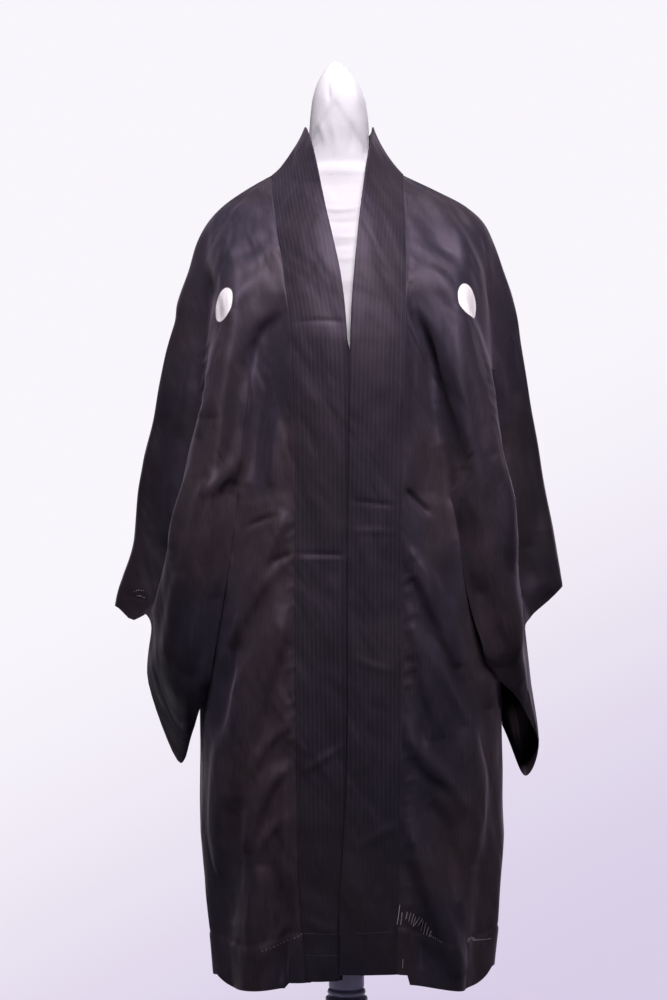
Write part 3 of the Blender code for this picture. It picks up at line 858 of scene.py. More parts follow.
def opaque(colour: Any) -> Any:
    """Add full opacity to a plain colour, and leave a wire as it is."""
    return colour if isinstance(colour, Wire) else (*colour, 1.0)


class Drift(NamedTuple):
    """A slow change over a surface: its noise, the values it goes between, its upright stretch."""

    scale: float
    detail: float
    low: float
    high: float
    upright: float = 1.0


class Wiring:
    """A shader's node tree, and the ways of adding to it."""

    def __init__(self, tree: bpy.types.NodeTree) -> None:
        """Hold the tree."""
        self.tree = tree

    def plug(self, socket: Socket, value: Any) -> None:
        """Connect an input to a wire, or set it.

        Args:
            socket: The input.
            value: A wire, or a plain value.
        """
        if isinstance(value, Wire):
            self.tree.links.new(value.socket, socket)
        else:
            socket.default_value = value

    def feed(self, node: bpy.types.Node, inputs: dict[str, Any]) -> None:
        """Fill a node's inputs by name, spaces written as underscores."""
        for name, value in inputs.items():
            self.plug(node.inputs[name.replace("_", " ")], value)

    def node(self, kind: str, settings: dict[str, Any], *values: Any, pick: int = 0,
             **inputs: Any) -> Wire:
        """Add a node.

        Args:
            kind: The node's type.
            settings: Its properties.
            values: Inputs in order.
            pick: Which of its outputs that are switched on to use.
            inputs: Inputs by name, spaces written as underscores.

        Returns:
            The chosen output.
        """
        node = self.tree.nodes.new(kind)
        for name, value in settings.items():
            setattr(node, name, value)
        for socket, value in zip((each for each in node.inputs if each.enabled), values):
            self.plug(socket, value)
        self.feed(node, inputs)
        return Wire(self, [socket for socket in node.outputs if socket.enabled][pick])

    def part(self, vector: Wire, axis: int) -> Wire:
        """Give one of a vector's three numbers."""
        return self.node("ShaderNodeSeparateXYZ", {}, vector, pick=axis)

    def joined(self, x: Wire, y: Wire) -> Wire:
        """Make two numbers a vector."""
        return self.node("ShaderNodeCombineXYZ", {}, x, y)

    def stretched(self, place: Wire, by: Triple) -> Wire:
        """Scale a place by a different amount along each axis."""
        return self.node("ShaderNodeVectorMath", {"operation": "MULTIPLY"}, place, by)

    def noise(self, place: Wire, scale: float, detail: float = 2.0,
              distortion: float = 0.0) -> Wire:
        """Read soft noise at a place."""
        return self.node("ShaderNodeTexNoise", {}, Vector=place, Scale=scale, Detail=detail,
                         Distortion=distortion)

    def drift(self, place: Wire, drift: Drift) -> Wire:
        """Go softly between 0 and 1 over a surface.

        Args:
            place: The point.
            drift: How.

        Returns:
            The value there.
        """
        if drift.upright != 1.0:
            place = self.stretched(place, (1.0, 1.0, drift.upright))
        return self.noise(place, drift.scale, drift.detail).ramp(drift.low, drift.high)

    def blend(self, factor: Any, low: Any, high: Any) -> Wire:
        """Mix two colours."""
        return self.node("ShaderNodeMix", {"data_type": "RGBA"}, factor, opaque(low), opaque(high))

    def near(self, place: Wire, centre: Triple, radius: float, soft: float) -> Wire:
        """Give 1 inside a ball and 0 outside it, with a soft edge."""
        gap = self.node("ShaderNodeVectorMath", {"operation": "DISTANCE"}, place, centre)
        return gap.ramp(radius + soft, radius - soft)

    def bump(self, height: Wire, distance: float, strength: float, **under: Wire) -> Wire:
        """Turn a height into a bump, as deep in metres as the distance, over any bump under it."""
        return self.node("ShaderNodeBump", {}, Height=height, Distance=distance,
                         Strength=strength, **under)


class Spot(NamedTuple):
    """A point of the cloth, in space and as distances across and down it, in metres."""

    place: Wire
    across: Wire
    down: Wire


class Bench(Wiring):
    """The making of one material."""

    def __init__(self, name: str, **fixed: Any) -> None:
        """Make a material with a Principled shader.

        Args:
            name: The material's name.
            fixed: Uniform values for the shader's sockets, spaces written as underscores.
        """
        self.material = bpy.data.materials.new(name)
        self.material.use_nodes = True
        super().__init__(self.material.node_tree)
        self.shader = next(node for node in self.tree.nodes if node.type == "BSDF_PRINCIPLED")
        self.feed(self.shader, fixed)

    def place(self) -> Wire:
        """Give the point in metres, in the object's own coordinates."""
        return self.node("ShaderNodeTexCoord", {}, pick=3)

    def spot(self) -> Spot:
        """Give the point of the cloth."""
        place, cloth = self.place(), self.node("ShaderNodeUVMap", {"uv_map": UV_NAME})
        return Spot(place, self.part(cloth, 0), self.part(cloth, 1))

    def weave(self, across: Wire, down: Wire, pitch: float) -> Wire:
        """Raise the crossing threads of a weave, from -1 to 1."""
        turn = 2 * math.pi / pitch
        return (across * turn).sine() * (down * turn).sine()

    def done(self, **inputs: Any) -> Finish:
        """Feed the shader's varying inputs and give the material."""
        self.feed(self.shader, inputs)
        return self.material


# ------ creases of the jacket
SLEEVE_AXIS = 150.0
FULLNESS = (3.3, 1.5)  # how much higher the creases stand than their tables say
FULLNESS_AT = (1000.0, 1250.0)  # the heights that go with these
MOST_FULL = 9.0  # no crease stands higher than this
FRONT_CREASES = {
    RIGHT: rows_of(
        Crease,
        (-76, 1257, -105, 1218, -115, 1150, 8, -6.0), (-146, 1244, -156, 1180, -157, 1133, 11, 4.5),
        (-119, 1180, -122, 1150, -125, 1122, 8, 2.5), (-162, 1069, -167, 955, -183, 830, 15, 4.0, 0.3),
        (-175, 1110, -166, 1138, -154, 1162, 7, 2.2), (-170, 1043, -148, 1066, -122, 1096, 8, 2.6),
        (-104, 1221, -117, 1174, -124, 1127, 9, 4.0, -0.3),
        (-124, 1140, -130, 1092, -136, 1057, 9, 4.0, -0.3),
        (-142, 1050, -150, 988, -159, 924, 10, 4.0, -0.3),
        (-157, 930, -166, 860, -176, 790, 9, 3.4, -0.3), (-118, 1007, -98, 1016, -78, 1022, 4, -1.0),
        (-90, 964, -76, 972, -61, 978, 4, -0.9), (-66, 1028, -101, 952, -129, 860, 12, 3.4, 0.3),
        (-66, 900, -95, 838, -113, 772, 12, 6.0, 0.3), (-69, 731, -99, 690, -113, 626, 9, 5.0, 0.3),
        (-72, 734, -71, 660, -73, 586, 6, 3.6), (-56, 607, -71, 533, -76, 477, 6, -5.0),
        (-68, 920, -106, 815, -140, 668, 18, 5.0, 0.2), (-126, 905, -140, 830, -152, 760, 10, -3.0),
        (-92, 1190, -104, 1120, -112, 1058, 10, -3.0, 0.2), (-76, 1150, -84, 1100, -86, 1052, 8, 2.4),
        (-100, 1310, -118, 1290, -132, 1262, 9, 2.2), (-88, 1352, -112, 1340, -138, 1330, 10, -1.6),
        (-98, 620, -108, 560, -106, 500, 12, 4.0, -0.2), (-128, 700, -134, 620, -133, 540, 12, -4.0),
        (-148, 760, -152, 680, -149, 590, 10, 3.5), (-200, 1118, -206, 1040, -212, 980, 12, 3.0),
        (-222, 1150, -232, 1080, -240, 1000, 11, -2.4), (-176, 1236, -190, 1180, -196, 1120, 10, 2.8),
        (-228, 1010, -244, 960, -256, 920, 9, 2.2), (-196, 960, -204, 900, -214, 850, 11, 2.6),
        (-60, 976, -112, 918, -154, 824, 7, 1.3), (-63, 901, -100, 862, -136, 809, 6, 1.1),
        (-62, 782, -98, 748, -122, 676, 6.5, 1.4), (-60, 676, -92, 652, -113, 600, 6, 1.3),
        (-58, 560, -84, 530, -112, 484, 6, 1.2)),
    LEFT: rows_of(
        Crease,
        (72, 1264, 96, 1221, 106, 1155, 8, -6.0), (73, 1267, 112, 1203, 143, 1082, 11, 4.5, -0.3),
        (134, 1261, 154, 1161, 168, 1092, 9, 3.8, -0.2), (168, 1092, 180, 1050, 193, 960, 9, 3.4, -0.2),
        (148, 1253, 167, 1200, 176, 1145, 7, 3.0), (67, 1051, 84, 1036, 97, 1022, 5, -2.4),
        (73, 970, 108, 900, 129, 842, 10, 5.2, -0.3), (65, 795, 85, 743, 118, 712, 9, 3.0),
        (64, 676, 108, 551, 126, 487, 10, 6.0, -0.3), (132, 1076, 142, 1010, 150, 930, 12, 4.0, -0.3),
        (148, 930, 160, 860, 166, 790, 11, 3.6, -0.3), (112, 1110, 118, 1050, 128, 990, 9, -3.2),
        (86, 1216, 100, 1160, 106, 1100, 9, -3.0, 0.2), (92, 690, 118, 640, 130, 570, 12, -4.0),
        (70, 900, 94, 820, 104, 760, 12, 4.0, -0.2), (140, 780, 150, 700, 148, 610, 11, 4.0),
        (80, 560, 84, 530, 86, 494, 8, -3.0), (86, 1356, 108, 1342, 134, 1332, 10, -1.6),
        (92, 1318, 112, 1296, 126, 1268, 9, 2.2), (196, 1110, 204, 1040, 208, 980, 12, 3.0),
        (214, 1150, 224, 1070, 232, 1000, 11, -2.4), (172, 1230, 184, 1180, 190, 1120, 10, 2.8),
        (222, 1010, 236, 960, 246, 920, 9, 2.2), (188, 960, 194, 900, 200, 850, 11, 2.6),
        (66, 985, 100, 945, 132, 880, 6.5, 1.2), (67, 905, 101, 849, 148, 767, 7, 1.4),
        (64, 763, 96, 738, 146, 670, 6.5, 1.5), (63, 642, 84, 601, 103, 545, 6, 1.4),
        (96, 812, 88, 770, 84, 725, 4.5, -0.9), (118, 640, 128, 600, 134, 552, 5.5, 1.0)),
}
BACK_CREASES = {
    RIGHT: rows_of(
        Crease,
        (-40, 1330, -86, 1270, -118, 1180, 15, 4.5, 0.2), (-30, 1220, -74, 1130, -98, 1010, 16, -4.0),
        (-64, 1180, -104, 1080, -118, 960, 13, 4.5, 0.2), (-18, 1060, -52, 960, -66, 830, 15, 4.0),
        (-96, 930, -118, 830, -122, 700, 14, 5.0, 0.2), (-34, 880, -60, 780, -64, 640, 14, -4.5),
        (-14, 760, -30, 660, -34, 540, 12, 4.0), (-84, 740, -98, 640, -100, 520, 13, -4.0),
        (-128, 800, -140, 700, -140, 590, 11, 4.0), (-128, 1250, -148, 1180, -154, 1100, 11, 3.6),
        (-160, 1180, -176, 1090, -186, 990, 13, 4.5, 0.2), (-190, 1190, -214, 1100, -226, 1000, 12, -3.4),
        (-172, 1040, -190, 960, -204, 880, 12, 4.0), (-226, 1040, -240, 980, -250, 930, 10, 3.0),
        (-120, 1390, -150, 1330, -172, 1260, 12, 2.4), (-60, 1376, -92, 1352, -120, 1344, 11, -2.0)),
    LEFT: rows_of(
        Crease,
        (44, 1336, 84, 1262, 124, 1196, 14, 4.2, -0.2), (26, 1240, 66, 1150, 86, 1040, 15, -3.8),
        (60, 1150, 96, 1050, 112, 930, 14, 4.8, -0.2), (20, 1090, 44, 990, 60, 870, 15, 4.2),
        (90, 960, 112, 850, 118, 730, 13, 4.6, -0.2), (30, 860, 52, 750, 58, 620, 14, -4.2),
        (14, 720, 26, 630, 30, 520, 12, 4.2), (78, 760, 90, 650, 92, 530, 13, 4.0),
        (124, 820, 140, 720, 144, 600, 11, -3.8), (124, 1262, 142, 1190, 150, 1110, 11, 3.6),
        (158, 1170, 170, 1080, 180, 980, 13, 4.5, -0.2), (186, 1180, 206, 1090, 218, 990, 12, -3.4),
        (166, 1030, 184, 950, 198, 860, 12, 4.0), (216, 1030, 232, 970, 240, 920, 10, 3.0),
        (116, 1392, 146, 1332, 168, 1262, 12, 2.4), (56, 1374, 88, 1356, 116, 1340, 11, -2.0)),
}
BAND_CREASES = {
    RIGHT: rows_of(
        Crease,
        (-64, 1245, -32, 1247, 2, 1245, 3.0, -1.0), (-64, 978, -31, 977, 2, 976, 3.5, -1.3),
        (-60, 971, -31, 972, 0, 972, 3.0, 0.6), (-57, 722, -29, 740, -2, 757, 5.0, 1.2),
        (-54, 560, -30, 546, -6, 540, 6, 1.2)),
    LEFT: rows_of(
        Crease,
        (4, 1039, 32, 1036, 60, 1033, 3.0, -1.3), (4, 1004, 30, 1004, 58, 1002, 4, 1.0),
        (6, 860, 30, 848, 60, 842, 5.0, 1.0), (10, 640, 34, 652, 60, 668, 6, 1.1)),
}


class PuckerRun(NamedTuple):
    """Short creases that start from one seam at an even spacing."""

    x: float
    top: float
    bottom: float
    pitch: float
    length: float
    slope: float
    height: float


PUCKER_RUNS = {
    (RIGHT, Face.FRONT): rows_of(
        PuckerRun,
        (-168, 1214, 1125, 15, 20, 0.8, 1.1), (-64, 1010, 760, 19, 16, 0.5, 0.9)),
    (LEFT, Face.FRONT): rows_of(
        PuckerRun,
        (164, 1214, 1133, 14, 20, -0.9, 1.0), (73, 1331, 1296, 14, 20, -0.7, 1.4),
        (69, 943, 820, 15, 18, 0.6, 1.3), (69, 760, 560, 24, 16, 0.6, 0.8)),
    (RIGHT, Face.BACK): rows_of(
        PuckerRun,
        (-168, 1214, 1110, 16, 20, 0.8, 1.7), (-9, 1260, 620, 27, 15, 0.7, 0.8)),
    (LEFT, Face.BACK): rows_of(
        PuckerRun,
        (168, 1210, 1110, 15, 20, -0.8, 1.7), (9, 1240, 600, 31, 15, -0.7, 0.8)),
}
PUCKER_SHIFT, PUCKER_LONG, PUCKER_HIGH = 3.1, (0.75, 0.35), (0.8, 0.4)  # middles and swings
PUCKER_PACES = (2.3, 1.7, 3.1)  # how fast the shift, the length and the height swing
PUCKER_BEFORE, PUCKER_BOW, PUCKER_WIDTH = 0.45, 1, 2.8


def seam_creases(side: Side, face: Face) -> list[Crease]:
    """Spell out the pucker runs of one face as creases, each a little different.

    Args:
        side: The side of the jacket.
        face: The front or the back.

    Returns:
        The creases.
    """
    creases = []
    for run in PUCKER_RUNS[side, face]:
        for place in range(int((run.top - run.bottom) / run.pitch) + 1):
            shift, long, high = (pace * place for pace in PUCKER_PACES)
            z = run.top - place * run.pitch + PUCKER_SHIFT * math.sin(shift)
            length = run.length * (PUCKER_LONG[0] + PUCKER_LONG[1] * math.sin(long + run.pitch))
            start, rise = run.x - PUCKER_BEFORE * length, run.slope * length
            creases.append(Crease(start, z, start + length / 2, z + rise / 2 + PUCKER_BOW,
                                  start + length, z + rise, PUCKER_WIDTH, run.height
                                  * (PUCKER_HIGH[0] + PUCKER_HIGH[1] * math.sin(high))))
    return creases


def faced_heights(cloth: Cloth, side: Side) -> Grid:
    """Add up a side's creases, each only where the cloth looks the crease's way.

    Args:
        cloth: The cloth to crease.
        side: The side of the jacket.

    Returns:
        One height for each point.
    """
    looks = cloth.facing[..., 1]
    total = np.zeros(cloth.grid.shape[:2])
    for face, creases in ((Face.FRONT, FRONT_CREASES), (Face.BACK, BACK_CREASES)):
        laid = list(creases[side]) + seam_creases(side, face)
        total += (np.clip(looks * face.value * FACING, 0, 1)
                  * crease_heights(cloth.grid, laid))
    total *= np.interp(cloth.grid[..., 2], FULLNESS_AT, FULLNESS)
    return MOST_FULL * np.tanh(total / MOST_FULL)


def around(grid: Grid, x: float, y: float) -> Grid:
    """Give the level direction from an upright line to each point."""
    return (grid - np.array([x, y, 0.0])) * np.array([1.0, 1.0, 0.0])


# ------ the jacket
HEM_TURN = {Face.FRONT: 57.0, Face.BACK: 56.0}  # how far up the hem's turn-up reaches inside
HEM_STEP, HEM_DIP, HEM_SOFT = 0.8, 0.7, 2.5  # the step over its end, and the dip above that
HEM_WANDER = ((-9, 10, 60), (5, 70, 70))  # how the front one wanders: rise, start and run
SHOULDER_FADE = 0.84  # the share of a row from which the creases die towards the shoulder fold
STILL_COURSES = 0.6  # courses over which they come back below the shoulder
SEAM_UNDERLAP = 2.6  # how far the sleeve runs on beneath the body
CENTRE_UNDERLAP = 0.4  # how far the left back panel runs on at the centre back
SEAM_SHARE = 0.06  # the share of a row that a seam calms
SEAM_CALM = 0.35  # the share of their height that creases keep at a seam


class Corner(NamedTuple):
    """Where the front hem beside the collar is drawn up: how wide, how high, from which row."""

    width: float
    lift: float
    rows: int = 30


class SideCorner(NamedTuple):
    """How the hem is drawn up beside the gusset, from one reach to another."""

    start: float
    end: float
    lift: float


FRONT_TOP, FRONT_TOP_SOFT = 1228.0, 20.0  # where the two free edges part
SIDE_CORNERS = {RIGHT: SideCorner(122, 152, 15), LEFT: SideCorner(140, 172, 19)}
SIDE_CORNER_TURN = 2.2  # how late the hem rises there
HEM_CORNERS = {RIGHT: Corner(24, 6.5), LEFT: Corner(14, 11.0)}
HEM_CORNER_SOFT = 1.2


class CuffDip(NamedTuple):
    """A sag in the cuff's edge beside the top fold."""

    station: float
    width: float
    depth: float
    rows: int = 26


CUFF_DIPS = {RIGHT: CuffDip(5.42, 0.24, 13.0), LEFT: CuffDip(5.5, 0.3, 2.0)}
SLEEVE_START = 2.0  # how far under the armhole's top the sleeve begins
SLEEVE_HEM_ROWS = 12  # rows over which the creases die towards the sleeve's bottom
SLEEVE_HEM_CALM = 0.2  # the share of their height that they keep there
BAG_SAG, BAG_WIDE = 0.3, 8  # how the sewn bottom sags with its width, up to a width
FREE_TURN = 0.12  # how little the sleeve's free inner edges turn in
FREE_BLEND = 0.5  # courses over which the armhole seam's tuck fades towards its end
EDGE_GAP = 0.3  # how far the two free edges draw back from each other
EDGE_UNDER, EDGE_SINK = 4.0, 3.0  # the right free edge runs on under the left one
EDGE_ALONE = 0.02  # the share of that where the two edges have parted
GUSSET_SAG, GUSSET_RIPPLE = 2.5, 0.5
GUSSET_LIFT_ROWS = 30  # rows over which the gusset's hem is drawn up
COLLAR_MIDDLE = (-10.0, -12.0)  # the upright line that the collar lies round
BAND_RIPPLE, BAND_CALM = 0.6, 0.6  # how little the doubled band ripples, less at its free edge
BAND_ROUND, BAND_ROUND_STEPS, BAND_CORNER = 0.9, 3, math.radians(60)


@dataclass
class JacketSide:
    """One half of the jacket: body length, sleeve, gusset and collar run."""

    side: Side
    silk: Finish
    band: Finish
    columns: int = 56
    row_height: float = 3.0
    skirt_rows: int = 170
    gusset_rows: int = 140
    gusset_columns: int = 15
    sleeve_columns: int = 40
    sleeve_rows_below: int = 74
    band_columns: int = 22
    band_step: float = 2.8
    drape: Drape = field(init=False)

    def __post_init__(self) -> None:
        """Stack the courses."""
        self.drape = Drape(self.side)

    def courses(self, top: float = COURSE_HEIGHTS[0]) -> Grid:
        """List evenly spaced courses from a height down to the armhole's end."""
        heights = np.linspace(top, SLIT_TOP, int((top - SLIT_TOP) / self.row_height) + 1)
        return self.drape.course_at(heights)

    def panel(self, face: Face) -> Cloth:
        """Lay the front or the back of the body length, creased and tucked in.

        Args:
            face: Which of the two.

        Returns:
            The cloth, its first column along the collar seam or the centre back.
        """
        shares = np.linspace(0, 1, self.columns + 1)
        courses = self.courses()
        rows = [self.drape.course_row(face, course, shares) for course in courses]
        rows += [self.drape.skirt_row(face, down, shares)
                 for down in np.linspace(0, 1, self.skirt_rows + 1)[1:]]
        grid = self.drape.world(np.array(rows))
        self.draw_up_corner(grid, face)
        cloth = Cloth(grid, around(grid, 0, 0))
        cloth.face_like(np.array([
            self.drape.facing(self.drape.body_stations(face, course, shares), course)
            for course in courses]))
        height = faced_heights(cloth, self.side) + ripple(grid)
        above = np.concatenate([self.still_fold(courses), np.zeros(self.skirt_rows)])
        fold = ease((shares - SHOULDER_FADE) / (1 - SHOULDER_FADE))
        sewn = ease((SLIT_TOP - grid[..., 2]) / (SLIT_TOP - GUSSET_TOP))
        seam = ease(shares / SEAM_SHARE) * (1 - sewn * (1 - ease((1 - shares) / SEAM_SHARE)))
        cloth.lay(height * (1 - above[:, None] * fold) * (SEAM_CALM + (1 - SEAM_CALM) * seam))
        cloth.push(self.hem_heights(cloth, face))
        self.tuck_inner(cloth, face, courses)
        return cloth

    @staticmethod
    def still_fold(courses: Grid) -> Grid:
        """Say how still the cloth lies at its outer fold: 1 over the shoulder, 0 lower down."""
        return 1 - ease((courses - ARM_TOP) / STILL_COURSES)

    def draw_up_corner(self, grid: Grid, face: Face) -> None:
        """Draw the hem up at its side, and the front one beside the collar too.

        Args:
            grid: The panel's points, which are moved.
            face: The front or the back panel.
        """
        corner = HEM_CORNERS[self.side]
        rows = np.arange(len(grid)) - (len(grid) - 1 - corner.rows)
        rise = ease(rows / corner.rows)[:, None]
        along = run_lengths(grid, 1)[-1]
        start, end, lift = SIDE_CORNERS[self.side]
        reach = np.clip((np.abs(grid[-1, :, 0]) - start) / (end - start), 0, 1)
        grid[..., 2] += lift * rise * reach ** SIDE_CORNER_TURN
        if face is Face.FRONT:
            beside = 1 - ease((along - corner.width) / HEM_CORNER_SOFT)
            grid[..., 2] += corner.lift * rise * beside

    def hem_heights(self, cloth: Cloth, face: Face) -> Grid:
        """Work out the step where the turned-up hem ends inside.

        Args:
            cloth: The cloth.
            face: The face whose turn-up it has.

        Returns:
            One height for each point.
        """
        above_hem = cloth.down[-1:] - cloth.down
        line = HEM_TURN[face]
        if face is Face.FRONT:
            for rise, start, run in HEM_WANDER:
                line = line + rise * ease((cloth.across - start) / run)
        step = HEM_STEP * (1 - ease((above_hem - line + HEM_SOFT) / (2 * HEM_SOFT)))
        dip = HEM_DIP * np.exp(-((above_hem - line - HEM_SOFT) / HEM_SOFT) ** 2)
        return step - dip

    def tuck_inner(self, cloth: Cloth, face: Face, courses: Grid) -> None:
        """Run the panel's inner edge beneath the collar, or the right half beneath the left.

        Args:
            cloth: The panel, which is widened.
            face: The front or the back panel.
            courses: The courses of its upper rows.
        """
        rows = len(cloth.grid)
        if face is Face.FRONT:
            cloth.tuck(start=True)
            return
        neck = np.zeros(rows, bool)
        neck[:len(courses)] = courses <= NECK_COURSE
        under = neck | (self.side is RIGHT)
        cloth.tuck(start=True, width=np.where(under, UNDERLAP, CENTRE_UNDERLAP),
                   drop=np.where(neck, UNDERLAP_DROP, np.where(under, SEAM_DROP, 0.0)))

    def sewn(self, kind: str, *cloths: Cloth) -> Piece:
        """Make one silk piece of this side from its grids of cloth."""
        return join_cloth(f"{kind}_{self.side.word}_silk", cloths, self.silk, CLOTH_WALL)

    def body(self) -> Piece:
        """Make the body length, front hem to back hem over the shoulder."""
        return self.sewn("body", *(self.panel(face) for face in Face))

    def sleeve_courses(self) -> Grid:
        """List the courses of the sleeve's rows, from the shoulder to its bottom.

        Returns:
            One course for each row.
        """
        top = self.drape.courses[ARM_TOP, 0, 2] - SLEEVE_START
        return np.concatenate([
            self.courses(top)[:-1],
            np.linspace(ARM_END, len(self.drape.courses) - 1, self.sleeve_rows_below)])

    def sleeve_cloth(self) -> Cloth:
        """Lay the sleeve from its front inner edge round the top fold to the back one.

        Returns:
            The cloth, creased.
        """
        half = np.linspace(0, 1, self.sleeve_columns + 1)
        courses = self.sleeve_courses()
        dip = CUFF_DIPS[self.side]
        rows, hull = [], []
        for row, course in enumerate(courses):
            front, back = self.drape.armhole(course)
            stations = np.concatenate([front + (FOLD - front) * half,
                                       back + (FOLD - back) * half[-2::-1]])
            points = self.drape.hull(stations, course)
            near = dip.depth * ease(1 - (len(courses) - 1 - row) / dip.rows)
            points[:, 2] -= near * np.exp(
                -((FOLD - np.abs(stations - FOLD) - dip.station) / dip.width) ** 2)
            rows.append(points)
            if course <= ARM_END:
                hull.append(self.drape.facing(stations, course))
        grid = self.drape.world(np.array(rows))
        cloth = Cloth(grid, around(grid, self.side.value * SLEEVE_AXIS, 0))
        cloth.face_like(np.array(hull))
        height = faced_heights(cloth, self.side) + ripple(grid)
        rising = (len(rows) - 1 - np.arange(len(rows))) / SLEEVE_HEM_ROWS
        still = self.still_fold(courses)
        calm = SLEEVE_HEM_CALM + (1 - SLEEVE_HEM_CALM) * ease(rising)
        cloth.lay(height * ((1 - still) * calm)[:, None])
        return cloth

    def sleeve(self) -> Piece:
        """Make the sleeve bag, with its bottom sewn up below the cuff.

        Returns:
            The object.
        """
        cloth = self.sleeve_cloth()
        bottom = self.sewn_bottom(cloth)
        free = ease((self.sleeve_courses() - ARM_END + FREE_BLEND) / FREE_BLEND)
        above = 1 - (1 - FREE_TURN) * free
        for start in (True, False):
            cloth.tuck(start, width=SEAM_UNDERLAP * above, drop=SEAM_DROP * above)
        return self.sewn("sleeve", bottom, cloth)

    def sewn_bottom(self, cloth: Cloth) -> Cloth:
        """Close the part of the sleeve's bottom that is sewn up.

        Args:
            cloth: The sleeve's cloth.

        Returns:
            The strip that closes it.
        """
        per_station = self.sleeve_columns / (FOLD - VALLEY)
        first = round((SEWN_FROM[self.side] - VALLEY) * per_station)
        last = round((SEWN_TO[self.side] - VALLEY) * per_station)
        bottom = cloth.grid[-1]
        front, back = bottom[first:last + 1], bottom[::-1][first:last + 1]
        gap = np.linalg.norm(front - back, axis=-1, keepdims=True)
        middle = (front + back) / 2 - np.array([0, 0, BAG_SAG]) * np.minimum(gap, BAG_WIDE)
        grid = np.stack([front, middle, back])
        return Cloth(grid, np.broadcast_to(np.array([0.0, 0.0, -1.0]), grid.shape))

    def gusset(self) -> Piece:
        """Make the narrow wedge between the front and back side seams.

        Returns:
            The object.
        """
        hem = HEMS[self.side, Face.FRONT].side
        first = (SLIT_TOP - GUSSET_TOP) / (SLIT_TOP - hem)
        shares = np.linspace(0, 1, self.gusset_columns)
        rows = []
        for down in np.linspace(first, 1, self.gusset_rows):
            front, back = (self.drape.skirt_row(face, down, np.array([0.0, 1.0]))[-1]
                           for face in Face)
            rows.append([front + (back - front) * share for share in shares])
        grid = self.drape.world(np.array(rows))
        row = np.arange(len(grid)) - (len(grid) - 1 - GUSSET_LIFT_ROWS)
        grid[..., 2] += SIDE_CORNERS[self.side].lift * ease(row / GUSSET_LIFT_ROWS)[:, None]
        cloth = Cloth(grid, around(grid, 0, 0))
        sag = np.sin(np.pi * shares) * GUSSET_SAG
        cloth.push(ripple(grid) * GUSSET_RIPPLE - sag + self.hem_heights(cloth, Face.BACK))
        for start in (True, False):
            cloth.tuck(start, drop=SEAM_DROP)
        return self.sewn("gusset", cloth)

    def collar_edges(self) -> tuple[Grid, Grid]:
        """Pair the collar seam's points with the free edge's, from the hem to the centre back.

        Returns:
            Reach, depth and height along the seam and along the free edge.
        """
        seams, edges = [], []
        for edge in COLLAR_FRONT[self.side]:
            if edge.seam < SLIT_TOP:
                x, y = self.drape.skirt_edge(Face.FRONT, 0.0, edge.seam)
                seams.append((float(x), float(y), edge.seam))
            else:
                course = self.drape.course_at(edge.seam)
                seams.append(tuple(self.drape.hull(0, float(course))[0]))
            edges.append((self.side.value * edge.x, edge.y, edge.z))
        for edge in COLLAR_NECK[self.side]:
            station = self.drape.neckline(edge.seam)
            seams.append(tuple(self.drape.hull(station, edge.seam)[0]))
            edges.append((self.side.value * edge.x, edge.y, edge.z))
        return np.array(seams), np.array(edges)

    def collar_cloth(self) -> Cloth:
        """Lay the collar run between the collar seam and its free edge.

        Returns:
            The cloth, its first column along the seam.
        """
        seams, edges = self.collar_edges()
        run = run_lengths(edges, 0)
        count = int(run[-1] / self.band_step)
        places = np.interp(np.linspace(0, run[-1], count), run, np.arange(len(run)))
        seams, edges = smooth(seams, places)[:, None], smooth(edges, places)[:, None]
        edges = edges + unit(seams - edges) * EDGE_GAP
        shares = np.linspace(0, 1, self.band_columns + 1)[:, None]
        grid = self.drape.world(seams + (edges - seams) * shares)
        cloth = Cloth(grid, around(grid, *COLLAR_MIDDLE))
        roll = np.interp(edges[:, 0, 2], COLLAR_ROLL_AT, COLLAR_ROLL)[:, None]
        bow = roll * 4 * shares[:, 0] * (1 - shares[:, 0])
        creases = crease_heights(grid, BAND_CREASES[self.side])
        front = np.clip(-cloth.normals()[..., 1] * FACING, 0, 1)
        waves = BAND_RIPPLE * ripple(grid) * ease(1 - BAND_CALM * shares[:, 0])
        cloth.push(bow + waves + creases * front)
        if self.side is RIGHT:
            low = EDGE_ALONE + (1 - EDGE_ALONE) * ease(
                (FRONT_TOP - edges[:, 0, 2]) / FRONT_TOP_SOFT)
            cloth.tuck(start=False, width=EDGE_UNDER * low, drop=EDGE_SINK * low)
        return cloth

    def collar(self) -> Piece:
        """Make one run of the collar band.

        Returns:
            The object.
        """
        name = f"collar_{self.side.word}_silk"
        band = join_cloth(name, [self.collar_cloth()], self.band, BAND_WALL)
        edge = band.modifiers.new("Folded edges", "BEVEL")
        edge.width, edge.segments = BAND_ROUND * MM, BAND_ROUND_STEPS
        edge.limit_method, edge.angle_limit = "ANGLE", BAND_CORNER
        return band


# ------ stitches
class StitchRow(NamedTuple):
    """A row of threads that lie on the cloth along a bent line, in X and height."""

    name: str
    x0: float
    z0: float
    x1: float
    z1: float
    x2: float
    z2: float
    pitch: float
    length: float
    radius: float
    slant: float
    start_share: float = 1.0
    end_share: float = 1.0
    lift: float = 0.0


